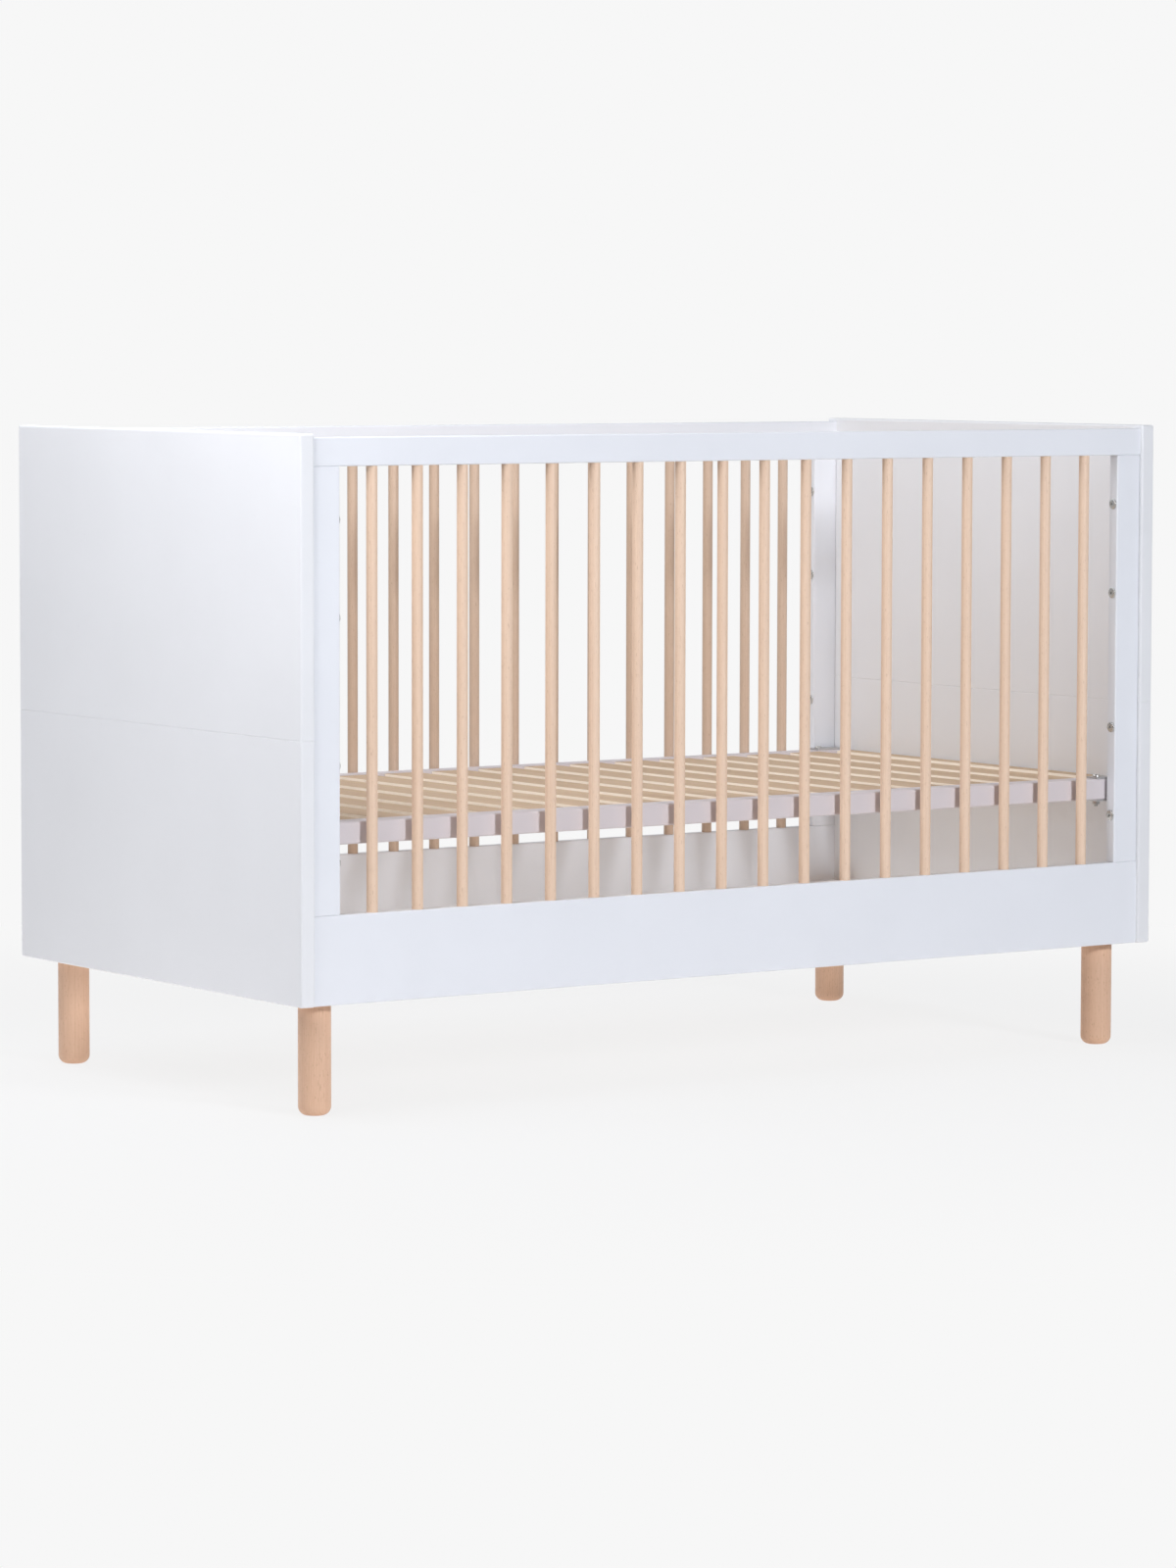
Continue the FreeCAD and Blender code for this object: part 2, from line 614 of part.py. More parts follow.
def hook_bracket(label, end, side):
    """A steel channel that clasps the end of a base rail and hooks over the level screw."""
    turned = side == "back"
    mirrored = (end == "right") != turned
    sign = "1" if mirrored else "-1"
    outer = f"{sign} * ({BASE_END} + {S}bracket_thickness)"
    low_z, high_z = f"({BASE_BOTTOM} - {S}bracket_thickness)", f"({BASE_TOP} + {S}bracket_thickness)"
    low_x, high_x = rising(f"{sign} * {BRACKET_TIP}", outer, sign)
    low = (low_x, f"-{BRACKET_OUT}", low_z)
    body, pad = block_body(label, low, (high_x, f"-{BRACKET_OUT} + {S}bracket_width", high_z))
    outer_x = value_of(outer)
    runs_outside = lambda box: along("Y")(box) and abs(box.XMin - outer_x) < 0.01
    add_fillet(body, pad, f"{S}bracket_thickness", runs_outside)

    hollow = new_sketch(body, "XZ_Plane", BRACKET_OUT)
    open_end = f"{sign} * ({BRACKET_TIP} - {OVERCUT})"
    near, far = rising(open_end, f"{sign} * {BASE_END}", sign)
    add_rectangle(hollow, (near, BASE_BOTTOM), (far, BASE_TOP))
    add_pocket(body, hollow, f"{S}bracket_width")

    bolt = new_sketch(body, "XY_Plane", high_z)
    add_circle(bolt, (f"{sign} * {BRACKET_BOLT}", f"-{BRACKET_MID}"), BORE)
    add_pocket(body, bolt, f"({S}base_rail_height + 2 * {S}bracket_thickness)")

    # hook slot in the web, and room for the screw's head through the bottom flange
    below = f"({low_z} - {OVERCUT})"
    low_y, high_y = centred(f"-{BRACKET_MID}", f"{S}hook_slot")
    slot = new_sketch(body, "YZ_Plane", outer)
    add_rectangle(slot, (low_y, below), (high_y, LEVEL))
    add_pocket(body, slot, f"{S}bracket_thickness", not mirrored)
    crown = new_sketch(body, "YZ_Plane", outer)
    add_circle(crown, (f"-{BRACKET_MID}", LEVEL), f"{S}hook_slot")
    add_pocket(body, crown, f"{S}bracket_thickness", not mirrored)
    passage = new_sketch(body, "YZ_Plane", outer)
    low_y, high_y = centred(f"-{BRACKET_MID}", f"{S}head_passage")
    add_rectangle(passage, (low_y, below), (high_y, BASE_BOTTOM))
    room = f"({S}bracket_thickness + {S}screw_head_height + {S}head_clearance)"
    add_pocket(body, passage, room, not mirrored)
    if turned:
        body.Placement = HALF_TURN


def build_base_hardware():
    bolts, nuts = [], []
    top = f"({BASE_TOP} + {S}bracket_thickness)"
    nut_top = f"({BASE_BOTTOM} - {S}bracket_thickness)"
    nut_base = f"({nut_top} - {S}nut_height)"
    below = f"({nut_base} - {S}bolt_tip)"
    for end, end_sign in ENDS.items():
        for side, side_sign in SIDES.items():
            hook_bracket(f"base_bracket_{side}_{end}", end, side)
            centre = (f"{end_sign} * {BRACKET_BOLT}", f"{side_sign} * {BRACKET_MID}")
            bolts.append(socket_screw("bracket_bolt", "Z", centre, top, "1", below))
            blank = add_hexagon("nut_blank", "Z", centre, (nut_base, nut_top), f"{S}nut_width")
            nuts.append(bored("bracket_nut", "Z", centre, (nut_base, nut_top), blank, BORE))
    grouped("bracket_bolts", bolts)
    grouped("bracket_nuts", nuts)


# ---------------------------------------------------------------- fasteners

def bored(name, axis, centre, span, blank, diameter):
    """A blank with a bore right through it."""
    through = (f"({span[0]} - {OVERCUT})", f"({span[1]} + {OVERCUT})")
    return cut(name, blank, add_cylinder(f"{name}_bore", axis, centre, through, diameter))


def socket_screw(name, axis, centre, seat, out, shank_end, wide_head=False):
    """A hexagon-socket screw; out is the sign of the head's side along the axis."""
    width = f"{S}bolt_head_diameter" if wide_head else f"{S}screw_head_diameter"
    height = f"{S}bolt_head_height" if wide_head else f"{S}screw_head_height"
    rim = f"({seat} + {out} * {height} / 2)"
    crown = f"({seat} + {out} * {height})"
    floor = f"({crown} - {out} * {height} * {SOCKET_DEPTH})"
    beyond = f"({crown} + {out} * {OVERCUT})"
    widths = rising(width, f"{width} * {CROWN}", out)
    blank = fused(f"{name}_blank", [
        add_cylinder(f"{name}_shank", axis, centre, rising(shank_end, seat, out), f"{S}bolt_diameter"),
        add_cylinder(f"{name}_disc", axis, centre, rising(seat, rim, out), width),
        add_cone(f"{name}_dome", axis, centre, rising(rim, crown, out), widths),
    ])
    socket = add_hexagon(f"{name}_socket", axis, centre, rising(floor, beyond, out), f"{S}socket_width")
    return cut(name, blank, socket)


def threaded_insert(name, axis, centre, mouth, inward):
    """A flush insert that reaches from its mouth along the signed direction."""
    span = rising(mouth, f"({mouth} + {inward} * {S}insert_length)", inward)
    sleeve = add_cylinder(f"{name}_sleeve", axis, centre, span, f"{S}insert_diameter")
    return bored(name, axis, centre, span, sleeve, BORE)


def wood_screw(name, axis, centre, seat, tip, sign):
    """A screw whose cap stands on the block's inner face."""
    crown = f"({seat} - {sign} * {S}wood_screw_diameter / 2)"
    widths = rising(f"{S}wood_screw_head * {SCREW_TAPER}", f"{S}wood_screw_head", sign)
    return fused(name, [
        add_cylinder(f"{name}_shank", axis, centre, rising(seat, tip, sign), f"{S}wood_screw_diameter"),
        add_cone(f"{name}_cap", axis, centre, rising(crown, seat, sign), widths),
    ])


def build_panel_fasteners():
    bolts, bolt_inserts, level_inserts, level_screws = [], [], [], []
    for end_sign in ENDS.values():
        inward = "1" if end_sign == "-1" else "-1"
        mouth, tip = f"{end_sign} * {END_IN}", f"{end_sign} * {SCREW_TIP}"
        for side_sign in SIDES.values():
            for z in BOLT_ROWS:
                centre = (f"{side_sign} * {SIDE_MID}", z)
                seat = f"{end_sign} * {STILE_IN}"
                bolts.append(socket_screw("side_bolt", "X", centre, seat, inward, tip, wide_head=True))
                bolt_inserts.append(threaded_insert("bolt_insert", "X", centre, mouth, end_sign))
            for z in LEVEL_ROWS:
                centre = (f"{side_sign} * {BRACKET_MID}", z)
                level_inserts.append(threaded_insert("level_insert", "X", centre, mouth, end_sign))
            centre = (f"{side_sign} * {BRACKET_MID}", LEVEL)
            seat = f"{end_sign} * ({BASE_END} - {S}head_play)"
            level_screws.append(socket_screw("level_screw", "X", centre, seat, inward, tip))
    grouped("side_bolts", bolts)
    grouped("side_bolt_inserts", bolt_inserts)
    grouped("level_inserts", level_inserts)
    grouped("level_screws", level_screws)


# ---------------------------------------------------------------- legs

def leg(label, x, y):
    body = new_body(label)
    sketch = new_sketch(body, "XY_Plane", "0")
    add_circle(sketch, (x, y), f"{S}leg_diameter")
    pad = add_pad(body, sketch, BOTTOM)
    add_fillet(body, pad, f"{S}leg_rounding", level_with(0))
    bore = new_sketch(body, "XY_Plane", BOTTOM)
    add_circle(bore, (x, y), LEG_BOLT_BORE)
    add_pocket(body, bore, f"({S}leg_bolt_length / 2 + {S}dowel_play)")


def corner_block(label, end, side):
    """The hidden block in a bottom corner that carries a leg."""
    turned = side == "back"
    mirrored = (end == "right") != turned
    sign = "1" if mirrored else "-1"
    low_x, high_x = rising(f"{sign} * {BLOCK_X}", f"{sign} * {END_IN}", sign)
    body, _ = block_body(label, (low_x, f"-{SIDE_IN}", BOTTOM), (high_x, f"-{BLOCK_Y}", BLOCK_TOP))
    middle = new_sketch(body, "XY_Plane", BLOCK_TOP)
    add_circle(middle, (f"{sign} * {LEG_X}", f"-{LEG_Y}"), f"({S}leg_insert_diameter + {S}bore_clearance)")
    add_pocket(body, middle, f"{S}block_height")

    across_x = new_sketch(body, "YZ_Plane", f"{sign} * {BLOCK_X}")
    across_y = new_sketch(body, "XZ_Plane", BLOCK_Y)
    for step in ("-1", "1"):
        offset = f"{step} * {S}wood_screw_spacing / 2"
        add_circle(across_x, (f"-({LEG_Y} + {offset})", BLOCK_MID), WOOD_SCREW_BORE)
        add_circle(across_y, (f"{sign} * ({LEG_X} + {offset})", BLOCK_MID), WOOD_SCREW_BORE)
    add_pocket(body, across_x, f"({END_IN} - {BLOCK_X})", mirrored)
    add_pocket(body, across_y, f"({SIDE_IN} - {BLOCK_Y})", True)
    if turned:
        body.Placement = HALF_TURN


def build_legs():
    leg_bolts, leg_inserts, screws = [], [], []
    block_span = (BOTTOM, BLOCK_TOP)
    for side, side_sign in SIDES.items():
        for end, end_sign in ENDS.items():
            x, y = f"{end_sign} * {LEG_X}", f"{side_sign} * {LEG_Y}"
            leg(f"leg_{side}_{end}", x, y)
            corner_block(f"corner_block_{side}_{end}", end, side)
            bolt_span = centred(BOTTOM, f"{S}leg_bolt_length")
            leg_bolts.append(add_cylinder("leg_bolt", "Z", (x, y), bolt_span, f"{S}leg_bolt_diameter"))
            sleeve = add_cylinder("leg_insert_sleeve", "Z", (x, y), block_span, f"{S}leg_insert_diameter")
            leg_inserts.append(bored("leg_insert", "Z", (x, y), block_span, sleeve, LEG_BOLT_BORE))
            for step in ("-1", "1"):
                screws += block_screws(end_sign, side_sign, f"{step} * {S}wood_screw_spacing / 2")
    grouped("leg_bolts", leg_bolts)
    grouped("leg_inserts", leg_inserts)
    grouped("block_screws", screws)


def block_screws(end_sign, side_sign, offset):
    """The screws from one corner block into the end panel and into the bottom rail."""
    panel_tip = f"{end_sign} * ({END_IN} + {S}wood_screw_grip)"
    rail_tip = f"{side_sign} * ({SIDE_IN} + {SIDE_THICKNESS} / 2)"
    along_x = (f"{side_sign} * ({LEG_Y} + {offset})", BLOCK_MID)
    along_y = (f"{end_sign} * ({LEG_X} + {offset})", BLOCK_MID)
    return [
        wood_screw("block_screw", "X", along_x, f"{end_sign} * {BLOCK_X}", panel_tip, end_sign),
        wood_screw("block_screw", "Y", along_y, f"{side_sign} * {BLOCK_Y}", rail_tip, side_sign),
    ]


# ---------------------------------------------------------------- assembly and export

build_end_panels()
build_side_frames()
build_base_frame()
build_slats()
build_base_hardware()
build_panel_fasteners()
build_legs()
doc.recompute()

faulty = [o.Label for o in doc.Objects if "Invalid" in o.State or "Error" in o.State]
for node in nodes:
    if node.Shape.isNull() or not node.Shape.isValid() or not node.Shape.Solids:
        faulty.append(node.Label)
if faulty:
    raise RuntimeError(f"these objects failed: {faulty}")

os.makedirs("parts", exist_ok=True)
for node in nodes:
    node.Shape.exportStep(f"parts/{node.Label}.step")
print(f"{len(nodes)} nodes exported")
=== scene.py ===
"""A baby crib: its finishes and fittings, with the floor, the light and the camera around them."""

import logging
import math
from collections.abc import Callable, Iterable, Sequence
from dataclasses import dataclass, field
from enum import Enum

import bmesh
import bpy
from mathutils import Matrix, Vector


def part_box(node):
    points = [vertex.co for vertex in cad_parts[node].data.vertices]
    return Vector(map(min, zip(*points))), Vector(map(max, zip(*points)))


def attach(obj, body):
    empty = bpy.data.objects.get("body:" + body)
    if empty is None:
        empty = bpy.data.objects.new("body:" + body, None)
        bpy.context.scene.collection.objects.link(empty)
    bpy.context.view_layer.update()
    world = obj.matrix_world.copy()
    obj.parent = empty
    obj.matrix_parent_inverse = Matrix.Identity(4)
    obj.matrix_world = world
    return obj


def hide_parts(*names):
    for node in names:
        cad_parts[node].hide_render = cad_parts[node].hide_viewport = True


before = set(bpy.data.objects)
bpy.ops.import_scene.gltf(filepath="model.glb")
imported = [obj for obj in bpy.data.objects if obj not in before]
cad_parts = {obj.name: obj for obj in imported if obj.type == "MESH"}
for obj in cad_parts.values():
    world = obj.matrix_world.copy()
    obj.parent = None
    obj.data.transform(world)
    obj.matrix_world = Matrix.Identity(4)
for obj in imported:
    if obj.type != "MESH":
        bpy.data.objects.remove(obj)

LOG = logging.getLogger("crib")
CRIB_FRAME = "crib_frame"        # the body that stands on the floor
MATTRESS_BASE = "mattress_base"  # the body that is lifted out and hung again
MM = 0.001
SHARP_ANGLE = math.radians(35)
ENDS = ("left", "right")
SIDES = ("front", "back")

Colour = tuple[float, float, float]
Point = tuple[float, float, float]
Span = tuple[float, float]


class Axis(Enum):
    """The direction in which a fitting's shank runs away from its head, or a piece's grain runs."""

    LEFT = (-1, 0, 0)
    RIGHT = (1, 0, 0)
    BACK = (0, 1, 0)
    UP = (0, 0, 1)

    def turn(self) -> Matrix:
        """Gives the rotation that lays the +Z axis along this direction."""
        return Vector(self.value).to_track_quat("Z", "Y").to_matrix().to_4x4()


# ---------------------------------------------------------------- shader groups


class NodeMaker:
    """Adds and joins nodes in one shader tree."""

    def __init__(self, tree: bpy.types.NodeTree) -> None:
        """Starts on a tree.

        Args:
            tree: The material's or the group's node tree.
        """
        self.tree = tree

    def add(self, kind: str, inputs: dict | None = None, **settings: object) -> bpy.types.Node:
        """Adds one node.

        Args:
            kind: The node's type, without the words ShaderNode.
            inputs: What goes into its sockets: another node's socket, or a constant.
            settings: The node's own properties.

        Returns:
            The new node.
        """
        node = self.tree.nodes.new(f"ShaderNode{kind}")
        for name, value in settings.items():
            setattr(node, name, value)
        for name, value in (inputs or {}).items():
            self.feed(node.inputs[name], value)
        return node

    def feed(self, socket: bpy.types.NodeSocket, value: object) -> None:
        """Links a socket, or sets its constant.

        Args:
            socket: The input.
            value: An output socket, a number, or a colour or vector.
        """
        if isinstance(value, bpy.types.NodeSocket):
            self.tree.links.new(value, socket)
        elif socket.type == "RGBA" and len(value) == 3:
            socket.default_value = (*value, 1.0)
        else:
            socket.default_value = value

    def maths(self, operation: str, *values: object) -> bpy.types.NodeSocket:
        """Adds a Math node and gives its result.

        Args:
            operation: The node's operation.
            values: Its inputs in order.

        Returns:
            The output socket.
        """
        return self.add("Math", dict(enumerate(values)), operation=operation).outputs[0]

    def vector(self, operation: str, *values: object) -> bpy.types.NodeSocket:
        """Adds a Vector Math node and gives its result.

        Args:
            operation: The node's operation.
            values: Its inputs in order.

        Returns:
            The output socket.
        """
        inputs = dict(enumerate(values))
        if operation == "SCALE":
            inputs = {"Vector": values[0], "Scale": values[1]}
        node = self.add("VectorMath", inputs, operation=operation)
        gives_number = operation in ("LENGTH", "DOT_PRODUCT")
        return node.outputs["Value" if gives_number else "Vector"]

    def noise(
        self, vector: object, scale: object, detail: float = 2.0, rough: float = 0.5
    ) -> bpy.types.NodeSocket:
        """Adds a Noise Texture and gives its value.

        Args:
            vector: The coordinates.
            scale: Features to a metre, roughly.
            detail: Its octaves.
            rough: How strong the small octaves are.

        Returns:
            The output socket, near 0.5 on average.
        """
        inputs = {"Vector": vector, "Scale": scale, "Detail": detail, "Roughness": rough}
        return self.add("TexNoise", inputs).outputs["Fac"]

    def spread(
        self, value: object, low: object, high: object, to: Span = (0.0, 1.0)
    ) -> bpy.types.NodeSocket:
        """Adds a smooth Map Range and gives its result.

        Args:
            value: What is mapped.
            low: Where the result starts.
            high: Where it ends.
            to: The result's two ends.

        Returns:
            The output socket.
        """
        inputs = {"Value": value, "From Min": low, "From Max": high, "To Min": to[0], "To Max": to[1]}
        return self.add("MapRange", inputs, interpolation_type="SMOOTHSTEP").outputs["Result"]

    def mix(self, share: object, first: object, second: object) -> bpy.types.NodeSocket:
        """Adds a colour Mix and gives its result.

        Args:
            share: How much of the second colour shows.
            first: The first colour.
            second: The second colour.

        Returns:
            The output socket.
        """
        node = self.add("Mix", None, data_type="RGBA")
        colours = [socket for socket in node.inputs if socket.type == "RGBA"]
        self.feed(node.inputs["Factor"], share)
        self.feed(colours[0], first)
        self.feed(colours[1], second)
        return next(socket for socket in node.outputs if socket.type == "RGBA")


Sockets = dict[str, bpy.types.NodeSocket]


@dataclass(frozen=True)
class Effect:
    """One effect that several finishes use, kept as a shader node group."""

    name: str
    inputs: dict[str, str]
    outputs: dict[str, str]
    wire: Callable[[NodeMaker, Sockets], Sockets]

    def group(self) -> bpy.types.NodeTree:
        """Gives the node group, built the first time it is asked for.

        Returns:
            The node group.
        """
        found = bpy.data.node_groups.get(self.name)
        if found:
            return found
        tree = bpy.data.node_groups.new(self.name, "ShaderNodeTree")
        for in_out, sockets in (("INPUT", self.inputs), ("OUTPUT", self.outputs)):
            for name, kind in sockets.items():
                tree.interface.new_socket(name=name, in_out=in_out, socket_type=f"NodeSocket{kind}")
        entry = tree.nodes.new("NodeGroupInput")
        leaving = tree.nodes.new("NodeGroupOutput")
        made = self.wire(NodeMaker(tree), {socket.name: socket for socket in entry.outputs if socket.name})
        for name, socket in made.items():
            tree.links.new(socket, leaving.inputs[name])
        return tree

    def place(self, maker: NodeMaker, **values: object) -> Sockets:
        """Puts the group in a material.

        Args:
            maker: The material's node maker.
            values: The group's inputs, with underscores for spaces.

        Returns:
            Its outputs by name.
        """
        node = maker.tree.nodes.new("ShaderNodeGroup")
        node.node_tree = self.group()
        for name, value in values.items():
            maker.feed(node.inputs[name.replace("_", " ")], value)
        return {socket.name: socket for socket in node.outputs}


def wire_wood(maker: NodeMaker, given: Sockets) -> Sockets:
    """Solid wood whose grain runs along Z, with rings about a pith of its own in each piece.

    Args:
        maker: The group's node maker.
        given: The group's inputs.

    Returns:
        The group's outputs.
    """
    half = (0.5, 0.5, 0.5)
    furthest_shift = (3.0, 3.0, 3.0)    # metres between the stretches of grain that two pieces may show
    bends_per_metre = (9.0, 9.0, 1.6)   # across the grain twice, then along it
    fibre_stretch = (1.0, 1.0, 0.035)
    fleck_stretch = (1.0, 1.0, 0.16)
    tone_stretch = (1.0, 1.0, 0.25)
    late_wood = 3.0                     # how late in its year a ring turns dark
    fleck_range = (0.66, 0.74)
    tones_per_metre = 22.0

    cell = maker.vector("DIVIDE", given["Vector"], given["Piece Room"])
    cell = maker.vector("FLOOR", maker.vector("ADD", cell, half))
    chance = maker.add("TexWhiteNoise", {"Vector": cell}, noise_dimensions="3D")
    local = maker.vector("SUBTRACT", given["Vector"], maker.vector("MULTIPLY", cell, given["Piece Room"]))
    shift = maker.vector("MULTIPLY", chance.outputs["Color"], furthest_shift)
    place = maker.vector("ADD", local, shift)

    slow = maker.vector("MULTIPLY", place, bends_per_metre)
    bend = maker.add("TexNoise", {"Vector": slow, "Scale": 1.0, "Detail": 2.0})
    bend = maker.vector("SUBTRACT", bend.outputs["Color"], half)
    strength = maker.add("CombineXYZ", {"X": given["Wobble"], "Y": given["Wobble"]}).outputs[0]
    bent = maker.vector("ADD", local, maker.vector("MULTIPLY", bend, strength))
    swing = maker.vector("SUBTRACT", chance.outputs["Color"], half)
    pith = maker.vector("ADD", given["Pith"], maker.vector("MULTIPLY", swing, given["Pith Swing"]))
    across = maker.vector("MULTIPLY", maker.vector("SUBTRACT", bent, pith), (1.0, 1.0, 0.0))
    turns = maker.maths("DIVIDE", maker.vector("LENGTH", across), given["Ring Width"])
    rise = maker.maths("FRACT", turns)
    late = maker.maths("POWER", rise, late_wood)
    fall = maker.spread(rise, 0.93, 1.0, (1.0, 0.0))
    year = maker.add("TexWhiteNoise", {"W": maker.maths("FLOOR", turns)}, noise_dimensions="1D")
    strong = maker.maths("MULTIPLY_ADD", year.outputs["Value"], 0.6, 0.4)
    rings = maker.maths("MULTIPLY", maker.maths("MULTIPLY", late, fall), strong)

    thread = maker.vector("MULTIPLY", place, fibre_stretch)
    fibres = maker.noise(thread, given["Fibres"], 3.0, 0.6)
    dash = maker.vector("MULTIPLY", place, fleck_stretch)
    fleck = maker.noise(dash, given["Flecks"], 1.0, 0.4)
    flecks = maker.spread(fleck, *fleck_range)
    broad = maker.noise(maker.vector("MULTIPLY", place, tone_stretch), tones_per_metre, 2.0, 0.55)
    tone = maker.maths("MULTIPLY_ADD", chance.outputs["Value"], 0.6, maker.maths("MULTIPLY", broad, 0.4))
    return {"Rings": rings, "Fibres": fibres, "Flecks": flecks, "Tone": tone}


def wire_skin(maker: NodeMaker, given: Sockets) -> Sockets:
    """A sprayed or plated skin: fine peel, slow changes of gloss and colour, and a few specks.

    Args:
        maker: The group's node maker.
        given: The group's inputs.

    Returns:
        The group's outputs.
    """
    speck_range = (0.83, 0.87)
    peel = maker.noise(given["Vector"], given["Peel"], 2.0, 0.45)
    cloud = maker.noise(given["Vector"], given["Cloud"], 3.0, 0.55)
    grit = maker.noise(given["Vector"], given["Specks"], 0.0, 0.0)
    return {"Peel": peel, "Cloud": cloud, "Specks": maker.spread(grit, *speck_range)}


def wire_edges(maker: NodeMaker, given: Sockets) -> Sockets:
    """Edges and corners found from the bevelled normal, in patches: wear from hands and sanding on wood and
    zinc, painted shade on lacquer.

    Args:
        maker: The group's node maker.
        given: The group's inputs.

    Returns:
        The group's outputs.
    """
    turned_range = (0.995, 0.80)        # cosine of the bevelled normal to the face, from no edge mark to a full one
    patches_per_metre = 60.0
    patch_range = (0.30, 0.62)
    bevel = maker.add("Bevel", {"Radius": given["Reach"]}, samples=4)
    flat = maker.add("NewGeometry").outputs["True Normal"]
    turned = maker.vector("DOT_PRODUCT", bevel.outputs["Normal"], flat)
    edge = maker.spread(turned, *turned_range)
    patch = maker.spread(maker.noise(given["Vector"], patches_per_metre, 3.0, 0.6), *patch_range)
    return {"Edge": maker.maths("MULTIPLY", edge, patch)}


WOOD = Effect(
    "wood grain",
    {
        "Vector": "Vector", "Piece Room": "Vector", "Pith": "Vector", "Pith Swing": "Vector",
        "Ring Width": "Float", "Wobble": "Float", "Fibres": "Float", "Flecks": "Float",
    },
    {"Rings": "Float", "Fibres": "Float", "Flecks": "Float", "Tone": "Float"},
    wire_wood,
)
SKIN = Effect(
    "sprayed skin",
    {"Vector": "Vector", "Peel": "Float", "Cloud": "Float", "Specks": "Float"},
    {"Peel": "Float", "Cloud": "Float", "Specks": "Float"},
    wire_skin,
)
# edge mask: wear on wood and zinc, painted shade on lacquer
EDGES = Effect("worn edges", {"Vector": "Vector", "Reach": "Float"}, {"Edge": "Float"}, wire_edges)


# ---------------------------------------------------------------- finishes


def shade(colour: Colour, share: float) -> Colour:
    """Gives a lighter or darker colour.

    Args:
        colour: The colour to start from.
        share: What it is multiplied by.

    Returns:
        The new colour.
    """
    return tuple(min(1.0, part * share) for part in colour)


def new_material(name: str) -> tuple[bpy.types.Material, NodeMaker, bpy.types.Node]:
    """Makes a node material.

    Args:
        name: Its name.

    Returns:
        The material, its node maker, and its Principled shader.
    """
    material = bpy.data.materials.new(name)
    material.use_nodes = True
    principled = material.node_tree.nodes["Principled BSDF"]
    return material, NodeMaker(material.node_tree), principled


@dataclass(frozen=True)
class Lacquer:
    """Satin white lacquer sprayed on board or solid wood."""

    name: str
    colour: Colour
    # painted shade: the darker, warmer colour drawn on the lacquer's edges and corners
    wear_and_shade: Colour = (0.80, 0.77, 0.72)
    gloss: Span = (0.34, 0.46)
    peel: float = 420.0
    clouds: float = 7.0
    specks: float = 260.0
    speck_share: float = 0.10
    peel_height: float = 0.05 * MM
    edge_reach: float = 1.4 * MM
    edge_share: float = 0.18

    def material(self) -> bpy.types.Material:
        """Makes the finish.

        Returns:
            Its material.
        """
        material, maker, shader = new_material(self.name)
        place = maker.add("TexCoord").outputs["Object"]
        skin = SKIN.place(maker, Vector=place, Peel=self.peel, Cloud=self.clouds, Specks=self.specks)
        edge = EDGES.place(maker, Vector=place, Reach=self.edge_reach)["Edge"]
        cloudy = maker.mix(skin["Cloud"], shade(self.colour, 0.975), shade(self.colour, 1.02))
        speck = maker.maths("MULTIPLY", skin["Specks"], self.speck_share)
        specked = maker.mix(speck, cloudy, shade(self.colour, 0.70))
        # painted shade: edges and corners drawn in the darker, warmer edge colour
        edges_wear_and_shade_mixed = maker.mix(maker.maths("MULTIPLY", edge, self.edge_share), specked, self.wear_and_shade)
        maker.feed(shader.inputs["Base Color"], edges_wear_and_shade_mixed)
        maker.feed(shader.inputs["Roughness"], maker.spread(skin["Cloud"], 0.25, 0.75, self.gloss))
        bump = maker.add("Bump", {"Height": skin["Peel"], "Distance": self.peel_height, "Strength": 0.6})
        maker.feed(shader.inputs["Normal"], bump.outputs["Normal"])
        shader.inputs["IOR"].default_value = 1.5
        shader.inputs["Coat Weight"].default_value = 0.12
        shader.inputs["Coat Roughness"].default_value = 0.22
        return material


